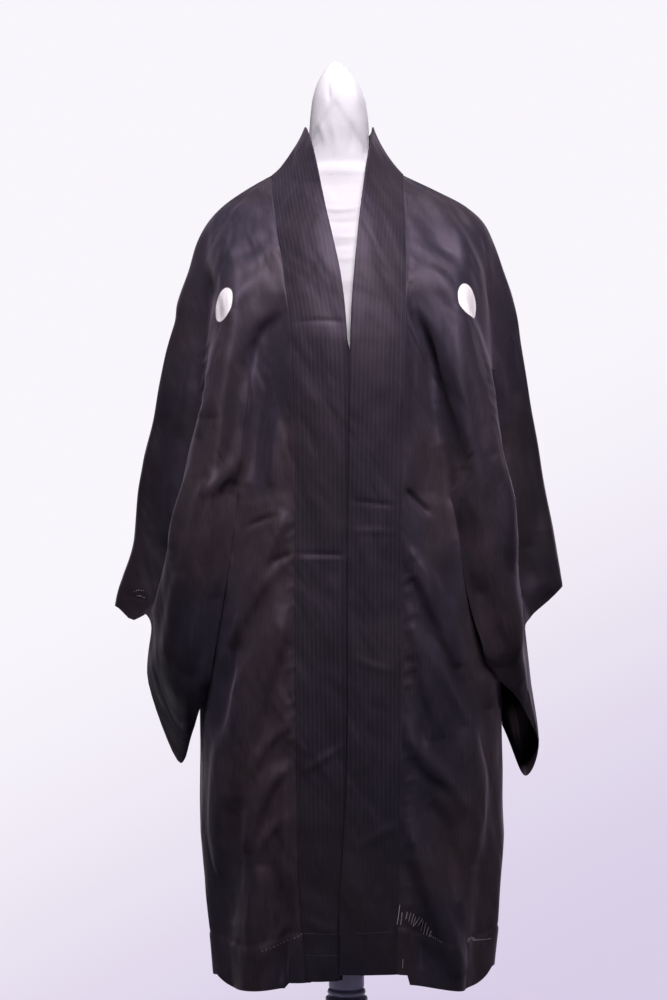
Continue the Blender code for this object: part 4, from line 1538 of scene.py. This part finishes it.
FRONT_STITCHES = {
    RIGHT: (
        StitchRow("hem_stitches", -98, 519, -71, 529, -53, 539, 4.6, 1.6, 0.15, 60),),
    LEFT: (
        StitchRow("basting_long_a", 59.6, 561, 58.6, 554, 57.6, 547, 30, 23, 0.26, 0, lift=2.9),
        StitchRow("basting_long_b", 62.8, 556.7, 62.2, 552, 61.4, 547, 30, 14.6, 0.22, 0,
                  lift=1.6),
        StitchRow("basting_slanted", 68.4, 560, 82, 550.5, 96.5, 538.4, 3.9, 18.0, 0.17, 109,
                  0.45, 0.45, lift=1.0),
        StitchRow("basting_end", 97.5, 536, 103, 533, 109, 530.6, 2.9, 2.6, 0.12, 105, lift=0.5),
        StitchRow("basting_thin", 150, 523.5, 159, 523, 168, 523, 5.2, 4.6, 0.14, 4),
        StitchRow("basting_marks", 140, 527.5, 145, 526.5, 150, 524.5, 3.6, 5.0, 0.13, 88,
                  1.0, 0.3),
        StitchRow("basting_low", 64.2, 505, 63.8, 499, 63.0, 493, 20, 10, 0.16, 0)),
}
BAND_STITCHES = {
    RIGHT: (
        StitchRow("band_line_top", -48, 540, -28, 539, -10, 539, 4.4, 3.6, 0.13, 0),
        StitchRow("band_line_low", -48, 515, -28, 514, -10, 514, 4.4, 3.6, 0.12, 0)),
    LEFT: (
        StitchRow("band_line_left", 12, 541, 32, 541, 52, 542, 4.4, 3.6, 0.12, 0),),
}
CUFF_STITCHES = {
    RIGHT: (
        StitchRow("cuff_marks_a", -257, 929, -252, 931, -246, 930, 3.1, 1.8, 0.15, 25, lift=0.4),
        StitchRow("cuff_marks_b", -253, 924, -249, 924, -245, 922, 3.3, 1.6, 0.15, 30, lift=0.4)),
    LEFT: (),
}
PATH_STEPS = 24
THREAD_SIDES = 6
THREAD_SUNK = 0.6  # how high a thread's middle lies over the cloth, in its radii
SIZE_AT, LATE_SIZE = (0, 0.5, 0.72, 1), 0.94  # where along a row its stitches change length
FACES_FRONT = -0.2  # the outward Y below which cloth counts as the front


class StitchNodes(Wiring):
    """Geometry Nodes that lay short threads along a path."""

    SIZES = ("Pitch", "Stitch Length", "Thread Radius", "Slant")

    def __init__(self) -> None:
        """Wire the node group once for every row."""
        super().__init__(bpy.data.node_groups.new("Stitch row", "GeometryNodeTree"))
        face = self.tree.interface
        face.new_socket("Path", in_out="INPUT", socket_type="NodeSocketGeometry")
        for name in self.SIZES:
            face.new_socket(name, in_out="INPUT", socket_type="NodeSocketFloat")
        face.new_socket("Finish", in_out="INPUT", socket_type="NodeSocketMaterial")
        face.new_socket("Threads", in_out="OUTPUT", socket_type="NodeSocketGeometry")
        start = self.tree.nodes.new("NodeGroupInput")
        path, pitch, length, radius, slant, finish = (
            Wire(self, socket) for socket in start.outputs if socket.name)
        curve = self.node("GeometryNodeMeshToCurve", {}, Mesh=path)
        spots = self.node("GeometryNodeCurveToPoints", {"mode": "LENGTH"}, Curve=curve,
                          Length=pitch)
        tangent = Wire(self, spots.socket.node.outputs["Tangent"])
        outward, size = (
            self.node("GeometryNodeInputNamedAttribute", {"data_type": kind}, Name=name)
            for name, kind in (("outward", "FLOAT_VECTOR"), ("size", "FLOAT")))
        lean = self.node("ShaderNodeVectorRotate", {"rotation_type": "AXIS_ANGLE"},
                         Vector=tangent, Axis=outward, Angle=slant)
        turn = self.node("FunctionNodeAlignRotationToVector", {"axis": "Z"}, Vector=lean)
        thread = self.node("GeometryNodeMeshCylinder", {}, Vertices=THREAD_SIDES, Radius=radius,
                           Depth=length)
        scale = self.node("ShaderNodeCombineXYZ", {}, 1.0, 1.0, size)
        laid = self.node("GeometryNodeInstanceOnPoints", {}, Points=spots, Instance=thread,
                         Rotation=turn, Scale=scale)
        real = self.node("GeometryNodeRealizeInstances", {}, Geometry=laid)
        done = self.node("GeometryNodeSetMaterial", {}, Geometry=real, Material=finish)
        self.feed(self.tree.nodes.new("NodeGroupOutput"), {"Threads": done})

    def lay(self, row: StitchRow, cloth: Cloth, finish: Finish,
            wall: float) -> Piece:
        """Sew one row of stitches on a cloth.

        Args:
            row: The row.
            cloth: The cloth it lies on.
            finish: The thread's material.
            wall: The cloth's thickness in millimetres.

        Returns:
            The threads as one object.
        """
        points, outward = row_path(row, cloth)
        points = points + outward * (wall / 2 + THREAD_SUNK * row.radius + row.lift)
        mesh = bpy.data.meshes.new(row.name)
        mesh.from_pydata((points * MM).tolist(), [(i, i + 1) for i in range(PATH_STEPS - 1)], [])
        mesh.attributes.new("outward", "FLOAT_VECTOR", "POINT").data.foreach_set(
            "vector", outward.ravel())
        mesh.attributes.new("size", "FLOAT", "POINT").data.foreach_set(
            "value", np.interp(np.linspace(0, 1, PATH_STEPS), SIZE_AT,
                               (row.start_share, 1, LATE_SIZE, row.end_share)))
        threads = link(row.name, mesh)
        modifier = threads.modifiers.new("Stitches", "NODES")
        modifier.node_group = self.tree
        values = dict(zip((*self.SIZES, "Finish"),
                          (row.pitch * MM, row.length * MM, row.radius * MM,
                           math.radians(row.slant), finish)))
        for item in self.tree.interface.items_tree:
            if item.name in values:
                modifier[item.identifier] = values[item.name]
        view = bpy.context.evaluated_depsgraph_get()
        sewn = bpy.data.meshes.new_from_object(threads.evaluated_get(view))
        threads.modifiers.remove(modifier)
        threads.data = sewn
        return threads


def row_path(row: StitchRow, cloth: Cloth) -> tuple[Grid, Grid]:
    """Find where a row of stitches lies on a cloth, and which way is out of it there.

    Args:
        row: The row of stitches.
        cloth: The cloth it lies on.

    Returns:
        Points and outward directions, one a step.
    """
    normals = cloth.normals().reshape(-1, 3)
    flat = cloth.grid.reshape(-1, 3)
    faced = np.flatnonzero(normals[:, 1] < FACES_FRONT)
    points, outward = [], []
    for x, z in bent_line(row, PATH_STEPS):
        near = faced[np.argmin((flat[faced, 0] - x) ** 2 + (flat[faced, 2] - z) ** 2)]
        normal, start = normals[near], flat[near]
        rise = -(normal[0] * (x - start[0]) + normal[2] * (z - start[2])) / normal[1]
        points.append((x, start[1] + rise, z))
        outward.append(normal)
    return np.array(points), np.array(outward)


# ------ finishes
class Ball(NamedTuple):
    """A ball in metres, which marks a round patch of the cloth it cuts."""

    x: float
    y: float
    z: float
    radius: float


CREST_NARROW = 1.5  # how much narrower than tall the crests lie
CREST_RIM = 0.86  # the share of a crest's radius at which its rim begins
CRESTS = rows_of(Ball, (-0.1405, -0.096, 1.266, 0.0238), (0.1385, -0.094, 1.271, 0.0238))


@dataclass(frozen=True)
class Silk:
    """Soft black silk whose dye leans to brown in some places and to purple in others, with painted shade
    darkening its outer sleeves.
    """

    name: str
    brown: Triple = (0.0240, 0.0175, 0.0207)
    purple: Triple = (0.0136, 0.0121, 0.0196)
    shine_tint: Triple = (0.80, 0.62, 0.86)
    crest: Triple = (0.91, 0.85, 0.89)
    crest_rim: Triple = (0.92, 0.87, 0.91)
    dye_drift: Drift = Drift(9.0, 2.0, 0.38, 0.62, upright=0.5)
    gloss_drift: Drift = Drift(11.0, 2.0, 0.3, 0.7)
    crest_drift: Drift = Drift(160.0, 2.0, 0.35, 0.65)
    streak_scale: tuple[float, float] = (700.0, 45.0)
    slub_scale: tuple[float, float] = (160.0, 24.0)
    worn_share: float = 1.6
    # painted shade: the share the outer sleeves' colour is darkened to, and the reach over which it comes
    # in
    painted_shade_share: float = 0.15
    painted_shade_from: float = 0.165
    painted_shade_to: float = 0.235
    weave_pitch: float = 0.0008
    wrinkle_lean: float = 0.38
    wrinkle_upright: float = 0.4
    crests: tuple[Ball, ...] = ()

    def build(self) -> Finish:
        """Make the material.

        Returns:
            The material.
        """
        bench = Bench(self.name, Specular_IOR_Level=0.42, Sheen_Weight=0.11, Sheen_Roughness=0.5,
                      Sheen_Tint=opaque(self.shine_tint), Specular_Tint=opaque(self.shine_tint))
        spot = bench.spot()
        colour, height = self.dye(bench, spot), self.weave(bench, spot)
        for ball in self.crests:
            colour = self.mark(bench, spot.place, colour, ball)
        rough = bench.drift(spot.place, self.gloss_drift) * 0.10 + 0.56
        crumple = bench.bump(self.crumple(bench, spot.place), 0.012, 0.55)
        return bench.done(Base_Color=colour, Roughness=rough,
                          Normal=bench.bump(height, 0.00025, 0.5, Normal=crumple))

    def crumple(self, bench: Bench, place: Wire) -> Wire:
        """Crumple the cloth softly, with a few sharper wrinkles.

        Args:
            bench: The material's bench.
            place: The point.

        Returns:
            The height of the wrinkles.
        """
        slant = bench.node("ShaderNodeVectorRotate", {"rotation_type": "AXIS_ANGLE"},
                           Vector=place, Axis=(0.0, 1.0, 0.0), Angle=self.wrinkle_lean)
        drawn = bench.stretched(slant, (1.0, 1.0, self.wrinkle_upright))
        line = (bench.noise(drawn, 14.0, 1.0, 0.5) - 0.5).absolute().ramp(0.0, 0.12)
        return bench.noise(drawn, 22.0, 2.0, 0.3) + line * 0.10

    def dye(self, bench: Bench, spot: Spot) -> Wire:
        """Colour the cloth, and paint shade over the outer sleeves.

        Args:
            bench: The material's bench.
            spot: The point of the cloth.

        Returns:
            The colour.
        """
        colour = bench.blend(bench.drift(spot.place, self.dye_drift), self.brown, self.purple)
        streak = bench.joined(spot.across * self.streak_scale[0],
                              spot.down * self.streak_scale[1])
        depth = bench.noise(streak, 1.0, 1.0) * 0.5 + bench.noise(spot.place, 34.0, 3.0) * 0.5
        lighter, painted_shade_colour = (
            bench.node("ShaderNodeMix", {"data_type": "RGBA", "blend_type": "MULTIPLY"},
                       1.0, colour, (share, share * 0.97, share, 1.0))
            for share in (self.worn_share, self.painted_shade_share))
        colour = bench.blend(depth.ramp(0.42, 0.68), colour, lighter)
        # painted shade: darken the cloth towards the outer sleeves, which turn away from the light
        outer = bench.part(spot.place, 0).absolute().ramp(self.painted_shade_from, self.painted_shade_to)
        return bench.blend(outer * 0.8, colour, painted_shade_colour)

    def weave(self, bench: Bench, spot: Spot) -> Wire:
        """Raise the threads of the weave, with a slub here and there.

        Args:
            bench: The material's bench.
            spot: The point of the cloth.

        Returns:
            The height of the threads.
        """
        slub = bench.joined(spot.across * self.slub_scale[0], spot.down * self.slub_scale[1])
        threads = bench.weave(spot.across, spot.down, self.weave_pitch)
        return threads * 0.12 + bench.noise(slub, 1.0)

    def mark(self, bench: Bench, place: Wire, colour: Wire, ball: Ball) -> Wire:
        """Leave one bare crest disc undyed, paler at its rim.

        Args:
            bench: The material's bench.
            place: The point.
            colour: The colour of the cloth.
            ball: Where the crest lies.

        Returns:
            The colour of cloth and disc.
        """
        centre = (ball.x * CREST_NARROW, ball.y, ball.z)
        place = bench.stretched(place, (CREST_NARROW, 1.0, 1.0))
        disc = bench.blend(bench.drift(place, self.crest_drift) * 0.35, self.crest, self.crest_rim)
        inner = bench.near(place, centre, ball.radius * CREST_RIM, 0.0012)
        disc = bench.blend(inner, self.crest_rim, disc)
        return bench.blend(bench.near(place, centre, ball.radius, 0.0007), colour, disc)


@dataclass(frozen=True)
class StripedSilk(Silk):
    """The same silk with fine pinstripes along it, which fade towards the hem."""

    brown: Triple = (0.0130, 0.0102, 0.0137)
    purple: Triple = (0.0095, 0.0087, 0.0140)
    stripe_pitch: float = 0.005
    stripe: Triple = (0.036, 0.028, 0.039)
    stripe_strength: float = 0.42
    fade_from: float = 0.03
    fade_to: float = 0.30

    def dye(self, bench: Bench, spot: Spot) -> Wire:
        """Colour the cloth and its stripes.

        Args:
            bench: The material's bench.
            spot: The point of the cloth.

        Returns:
            The colour.
        """
        colour = super().dye(bench, spot)
        wave = (spot.across * (2 * math.pi / self.stripe_pitch)).sine()
        factor = wave.ramp(0.35, 0.95) * spot.down.ramp(self.fade_from, self.fade_to)
        return bench.blend(factor * self.stripe_strength, colour, self.stripe)


@dataclass(frozen=True)
class Cotton:
    """White cotton stretched over a form."""

    name: str
    white: Triple = (0.50, 0.477, 0.515)
    shade: Triple = (0.435, 0.41, 0.46)
    drift: Drift = Drift(12.0, 3.0, 0.4, 0.68)
    weave_pitch: float = 0.0009

    def build(self) -> Finish:
        """Make the material.

        Returns:
            The material.
        """
        bench = Bench(self.name, Roughness=0.85, Specular_IOR_Level=0.2, Sheen_Weight=0.1)
        place = bench.place()
        colour = bench.blend(bench.drift(place, self.drift), self.white, self.shade)
        threads = bench.weave(bench.part(place, 0), bench.part(place, 2), self.weave_pitch) * 0.25
        height = threads + bench.noise(place, 90.0, 3.0)
        return bench.done(Base_Color=colour, Normal=bench.bump(height, 0.0005, 0.45))


@dataclass(frozen=True)
class Paint:
    """Satin paint on turned wood."""

    name: str
    base: Triple = (0.55, 0.51, 0.75)
    worn: Triple = (0.63, 0.59, 0.83)
    wear: Drift = Drift(30.0, 3.0, 0.4, 0.7, upright=0.25)
    gloss_drift: Drift = Drift(60.0, 2.0, 0.3, 0.7)
    brush_upright: float = 0.08

    def build(self) -> Finish:
        """Make the material.

        Returns:
            The material.
        """
        bench = Bench(self.name, Specular_IOR_Level=0.45)
        place = bench.place()
        colour = bench.blend(bench.drift(place, self.wear), self.base, self.worn)
        rough = bench.drift(place, self.gloss_drift) * 0.15 + 0.35
        height = bench.noise(bench.stretched(place, (1.0, 1.0, self.brush_upright)), 240.0)
        return bench.done(Base_Color=colour, Roughness=rough,
                          Normal=bench.bump(height, 0.0002, 0.4))


@dataclass(frozen=True)
class Thread:
    """Spun thread."""

    name: str
    light: Triple
    dark: Triple

    def build(self) -> Finish:
        """Make the material.

        Returns:
            The material.
        """
        bench = Bench(self.name, Roughness=0.8, Specular_IOR_Level=0.2)
        twist = bench.noise(bench.place(), 900.0, 1.0)
        colour = bench.blend(twist.ramp(0.35, 0.65), self.light, self.dark)
        return bench.done(Base_Color=colour, Normal=bench.bump(twist, 0.0001, 0.5))


# ------ the dress form and its stand
class Ring(NamedTuple):
    """One level cut of the form: half width, depths, middle and squareness."""

    z: float
    half: float
    front: float
    back: float
    x: float
    square: float = 2.0


TORSO_RINGS = rows_of(
    Ring,
    (720, 148, 104, 104, 0), (735, 154, 110, 110, 0), (790, 159, 112, 112, 0), (860, 157, 111, 111, 0),
    (950, 138, 98, 96, 0), (1040, 120, 92, 90, 0), (1120, 128, 106, 94, 0), (1195, 138, 126, 100, 0),
    (1240, 146, 125, 105, 0), (1280, 152, 114, 107, 0), (1320, 158, 96, 104, -1), (1352, 160, 78, 98, -2),
    (1376, 159, 61, 88, -3, 1.8), (1398, 142, 48, 76, -5, 1.6), (1411, 121, 40, 64, -6, 1.5),
    (1421, 100, 35, 57, -9, 1.5), (1431, 68, 32, 50, -10, 1.6), (1436, 50, 31, 46, -10, 2.0))
NECK_RINGS = rows_of(
    Ring,
    (1427, 56, 31.2, 47, -10), (1436, 50.4, 31.3, 46.4, -10), (1442, 46, 30.6, 44, -10),
    (1450, 42, 30, 42, -10), (1470, 37, 30, 39, -9.5), (1495, 36, 31, 37, -9), (1525, 32.5, 29, 31, -9.5),
    (1548, 24.5, 22, 23, -11), (1563, 15, 14, 14, -12), (1571, 7, 7, 7, -13), (1574, 1.5, 1.5, 1.5, -13))
CHEST_CREASES = rows_of(
    Crease,
    (-38, 1392, -8, 1387, 22, 1393, 3.5, 2.2), (-30, 1372, -4, 1370, 20, 1375, 4, -2.0),
    (-26, 1356, -2, 1351, 18, 1357, 3.5, 2.6), (-22, 1342, -4, 1340, 14, 1345, 3, -2.0),
    (-18, 1328, 0, 1324, 12, 1329, 3, 2.2), (-14, 1300, -2, 1296, 8, 1301, 3.5, 2.0),
    (-12, 1284, -1, 1281, 7, 1284, 3, -1.5), (-30, 1418, -20, 1404, -14, 1384, 4, 2.0))
NECK_CREASES = rows_of(
    Crease,
    (-21, 1543, -22, 1531, -20, 1519, 3, -2.0), (22, 1466, 24, 1460, 26, 1452, 2, -2.2),
    (8, 1548, 11, 1530, 18, 1512, 4, 1.3), (-36, 1500, -30, 1486, -26, 1470, 4, 1.3),
    (-20, 1500, -14, 1478, -16, 1455, 5, 1.1), (6, 1500, 8, 1480, 6, 1458, 5, -1.1))


class WrapFold(NamedTuple):
    """The crossed edges of the neck's wrapping, an upturned V."""

    x: float
    z: float
    fall_left: float
    fall_right: float
    step: float
    soft: float


CAP_ANGLE = math.radians(50)
FORM_MIDDLE, FORM_FACING = -8.0, 1.5  # the form's middle, and how its creases fade sideways
WRAP = WrapFold(-15.0, 1525.0, 1.62, 1.46, 1.4, 2.4)
WRAP_MIDDLE, WRAP_FACING = -10.0, 2.0
WRAP_FOOT, WRAP_FOOT_SOFT = 1440.0, 12.0  # where the crossed fold dies out


@dataclass
class DressForm:
    """The limbless form under its white cover, and the wrapping of its neck."""

    cotton: Finish
    # painted light: the neck's wrapping is a paler copy of the cover cotton
    wrapping: Finish
    sides: int = 128
    row_height: float = 4.0

    def loops(self, rings: Sequence[Ring], creases: Sequence[Crease]) -> Grid:
        """Lay level loops through the rings and crease their front.

        Args:
            rings: The level cuts, going up.
            creases: The creases of the front.

        Returns:
            Points in millimetres, one row a loop.
        """
        table = np.array(rings, float)
        count = max(int((table[-1, 0] - table[0, 0]) / self.row_height), 5 * len(rings))
        z, half, front, back, middle, square = smooth(
            table, np.linspace(0, len(rings) - 1, count)).T[..., None]
        angle = 2 * np.pi * np.arange(self.sides) / self.sides
        across, along = np.cos(angle), np.sin(angle)
        x = middle + half * np.sign(across) * np.abs(across) ** (2 / square)
        depth = np.where(along > 0, back, front)
        y = depth * np.sign(along) * np.abs(along) ** (2 / square)
        grid = np.stack([x, y, np.broadcast_to(z, x.shape)], axis=-1)
        out = unit(around(grid, FORM_MIDDLE, 0))
        faced = np.clip(-out[..., 1] * FORM_FACING, 0, 1)
        return grid + out * (crease_heights(grid, creases) * faced)[..., None]

    def torso(self) -> Piece:
        """Make the torso.

        Returns:
            The object.
        """
        torso = closed_mesh("form_torso_cotton", self.loops(TORSO_RINGS, CHEST_CREASES),
                            self.cotton)
        torso.data.set_sharp_from_angle(angle=CAP_ANGLE)
        return torso

    def neck(self) -> Piece:
        """Make the wrapped neck with its crossed fold.

        Returns:
            The object.
        """
        grid = self.loops(NECK_RINGS, NECK_CREASES)
        x, z = grid[..., 0], grid[..., 2]
        fall = np.where(x < WRAP.x, WRAP.fall_left, WRAP.fall_right)
        edge = WRAP.z - fall * np.abs(x - WRAP.x)
        out = unit(around(grid, WRAP_MIDDLE, 0))
        faced = np.clip(-out[..., 1] * WRAP_FACING, 0, 1)
        inside = ease((edge - z) / WRAP.soft) * faced * ease((z - WRAP_FOOT) / WRAP_FOOT_SOFT)
        return closed_mesh("form_neck_cotton", grid - out * (WRAP.step * inside)[..., None],
                           self.wrapping)


class TurnedPoint(NamedTuple):
    """A point of a turned profile."""

    radius: float
    z: float


POST_PROFILE = rows_of(
    TurnedPoint,
    (21.5, 719.6), (21.5, 448), (19.5, 446), (22.5, 444), (23.3, 441.5), (22.5, 439), (20.5, 437),
    (25.0, 435), (25.8, 432.5), (24.5, 428), (21.0, 400), (20.0, 300), (24.0, 150), (29.0, 80),
    (31.0, 40), (31.0, 30.3))
BASE_PROFILE = rows_of(
    TurnedPoint,
    (60, 30), (100, 26), (160, 20), (172, 17), (176, 11), (175, 3), (170, 0))


@dataclass
class Stand:
    """The turned post and the round base."""

    paint: Finish
    sides: int = 96
    steps: int = 6
    sharp: float = math.radians(38)

    def turned(self, name: str, profile: Sequence[TurnedPoint]) -> Piece:
        """Turn a profile round the upright axis.

        Args:
            name: The piece's name.
            profile: Its points, going down.

        Returns:
            The piece.
        """
        places = np.linspace(0, len(profile) - 1, (len(profile) - 1) * self.steps + 1)
        radius, z = smooth(profile, places)[::-1].T[..., None]
        angle = 2 * np.pi * np.arange(self.sides) / self.sides
        loops = np.stack([radius * np.cos(angle), radius * np.sin(angle),
                          np.broadcast_to(z, (len(z), self.sides))], axis=-1)
        piece = closed_mesh(name, loops, self.paint)
        piece.data.set_sharp_from_angle(angle=self.sharp)
        return piece


# ------ the studio
@dataclass(frozen=True)
class Lamp:
    """A soft square light."""

    name: str
    place: Triple
    aim: Triple
    size: float
    power: float
    tint: Triple = (1.0, 1.0, 1.0)
    spread: float = 180.0

    def light(self) -> None:
        """Hang the light."""
        data = bpy.data.lights.new(self.name, "AREA")
        data.shape, data.size = "SQUARE", self.size
        data.energy, data.color = self.power, self.tint
        data.spread = math.radians(self.spread)
        lamp = link(self.name, data)
        lamp.location = self.place
        toward = [end - start for start, end in zip(self.place, self.aim)]
        flat = math.hypot(toward[0], toward[1])
        lamp.rotation_euler = (math.atan2(flat, -toward[2]), 0.0,
                               math.atan2(toward[1], toward[0]) - math.pi / 2)


@dataclass
class Studio:
    """Pale lavender surroundings, soft light and the camera."""

    eye: Triple = (-0.01585, -2.81, 1.04)
    lens: float = 83.0
    floor_radius: float = 1.5
    floor_colour: Triple = (0.78, 0.75, 0.86)
    bright: Triple = (0.945, 0.915, 0.970)
    deep: Triple = (0.690, 0.620, 0.795)
    deep_way: tuple[float, float] = (2.0, 4.0)
    deep_edges: tuple[float, float] = (-0.1, 1.05)
    beyond_edges: tuple[float, float] = (0.55, 0.90)
    dim_share: float = 0.022
    floor_sides: int = 96
    lamps: tuple[Lamp, ...] = (
        Lamp("key", (0.15, -1.4, 3.3), (0.0, 0.0, 1.45), 0.9, 8.6, (1.0, 0.965, 0.985), 40.0),
        Lamp("fill", (1.6, -2.4, 2.2), (0.0, 0.0, 1.1), 1.4, 1.0, (0.96, 0.92, 1.0)),
        Lamp("back", (0.9, 2.9, 1.7), (0.0, 0.0, 1.1), 1.2, 27, (0.97, 0.95, 1.0)),
    )

    def build(self) -> None:
        """Set up the whole studio."""
        self.surroundings()
        self.floor()
        for lamp in self.lamps:
            lamp.light()
        data = bpy.data.cameras.new("camera")
        data.lens, data.sensor_width = self.lens, 36.0
        camera = link("camera", data)
        camera.location = self.eye
        camera.rotation_euler = (math.pi / 2, 0.0, 0.0)
        bpy.context.scene.camera = camera
        bpy.context.scene.view_settings.view_transform = "Standard"

    def surroundings(self) -> None:
        """Light the world palest beyond the jacket and dimmer in front of it."""
        world = bpy.data.worlds.new("surroundings")
        world.use_nodes = True
        wiring = Wiring(world.node_tree)
        way = wiring.node("ShaderNodeTexCoord", {}, pick=0)
        x, y, z = (wiring.part(way, axis) for axis in range(3))
        corner = (x * self.deep_way[0] - z * self.deep_way[1]).ramp(*self.deep_edges)
        colour = wiring.blend(corner, self.bright, self.deep)
        strength = y.ramp(*self.beyond_edges) * (1 - self.dim_share) + self.dim_share
        ground = next(node for node in wiring.tree.nodes if node.type == "BACKGROUND")
        wiring.feed(ground, {"Color": colour, "Strength": strength})
        bpy.context.scene.world = world

    def floor(self) -> None:
        """Lay the round pale floor."""
        angle = 2 * math.pi * np.arange(self.floor_sides) / self.floor_sides
        points = [(self.floor_radius * math.cos(a), self.floor_radius * math.sin(a), 0.0)
                  for a in angle]
        mesh = bpy.data.meshes.new("floor")
        mesh.from_pydata(points, [], [list(range(len(points)))])
        bench = Bench("floor_paint", Roughness=0.9, Base_Color=opaque(self.floor_colour))
        mesh.materials.append(bench.material)
        link("floor", mesh)


# ------ putting it together
def report(piece: Piece, slot: str, *nodes: str) -> Piece:
    """Fix a piece to the one body, hide the nodes it stands for, and log it.

    Args:
        piece: The finished piece.
        slot: The slot's name, or nothing for threads; not used.
        nodes: The nodes that it stands for.

    Returns:
        The piece.
    """
    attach(piece, "root")
    if nodes:
        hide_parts(*nodes)
    LOG.info("%s: %d faces", piece.name, len(piece.data.polygons))
    return piece


class Cut(NamedTuple):
    """The flat width and length of a piece of cloth, in metres, and the share that is cut out."""

    width: float
    length: float
    share: float = 1.0

    @property
    def area(self) -> float:
        """The flat area."""
        return self.width * self.length * self.share


def sew(rows: Sequence[StitchRow], nodes: StitchNodes, cloth: Cloth,
        finish: Finish, wall: float) -> list[Piece]:
    """Sew several rows of stitches on one cloth."""
    return [report(nodes.lay(row, cloth, finish, wall), "") for row in rows]


def build_jacket() -> None:
    """Build both halves of the jacket on the form.
    """
    silk = Silk("haori_silk_cloth", crests=CRESTS).build()
    band = StripedSilk("collar_silk_cloth").build()
    white = Thread("basting_thread", (0.80, 0.74, 0.80), (0.62, 0.57, 0.64)).build()
    pale = Thread("sewing_thread", (0.16, 0.14, 0.17), (0.09, 0.08, 0.10)).build()
    nodes = StitchNodes()
    for side in Side:
        half = JacketSide(side, silk, band)
        word = side.word
        body = report(half.body(), "haori_silk", f"body_{word}")
        sleeve = report(half.sleeve(), "haori_silk", f"sleeve_{word}")
        gusset = report(half.gusset(), "haori_silk", f"gusset_{word}")
        collar = report(half.collar(), "collar_silk", f"collar_{word}")
        on_body = sew(FRONT_STITCHES[side], nodes, half.panel(Face.FRONT), white, CLOTH_WALL)
        on_sleeve = sew(CUFF_STITCHES[side], nodes, half.sleeve_cloth(), white, CLOTH_WALL)
        on_band = sew(BAND_STITCHES[side], nodes, half.collar_cloth(), pale, BAND_WALL)


def main() -> None:
    """Build every piece and light the studio."""
    logging.basicConfig(level=logging.INFO, format="%(name)s: %(message)s")
    cotton = Cotton("cover_cotton_cloth").build()
    # painted light: the wrapping is the cover's white cotton painted paler, lifting the shade that the
    # collar casts on the neck
    wrapping = Cotton("wrapping_cotton_lit_copy", (0.62, 0.597, 0.64), (0.565, 0.54, 0.59)).build()
    paint = Paint("stand_paint_coat").build()
    form, stand = DressForm(cotton, wrapping), Stand(paint)
    torso = report(form.torso(), "cover_cotton", "form_torso")
    report(form.neck(), "cover_cotton", "form_neck")
    report(stand.turned("stand_post_turned", POST_PROFILE), "stand_paint", "stand_post")
    report(stand.turned("stand_base_turned", BASE_PROFILE), "stand_paint", "stand_base")
    build_jacket()
    Studio().build()


if __name__ == "__main__":
    main()
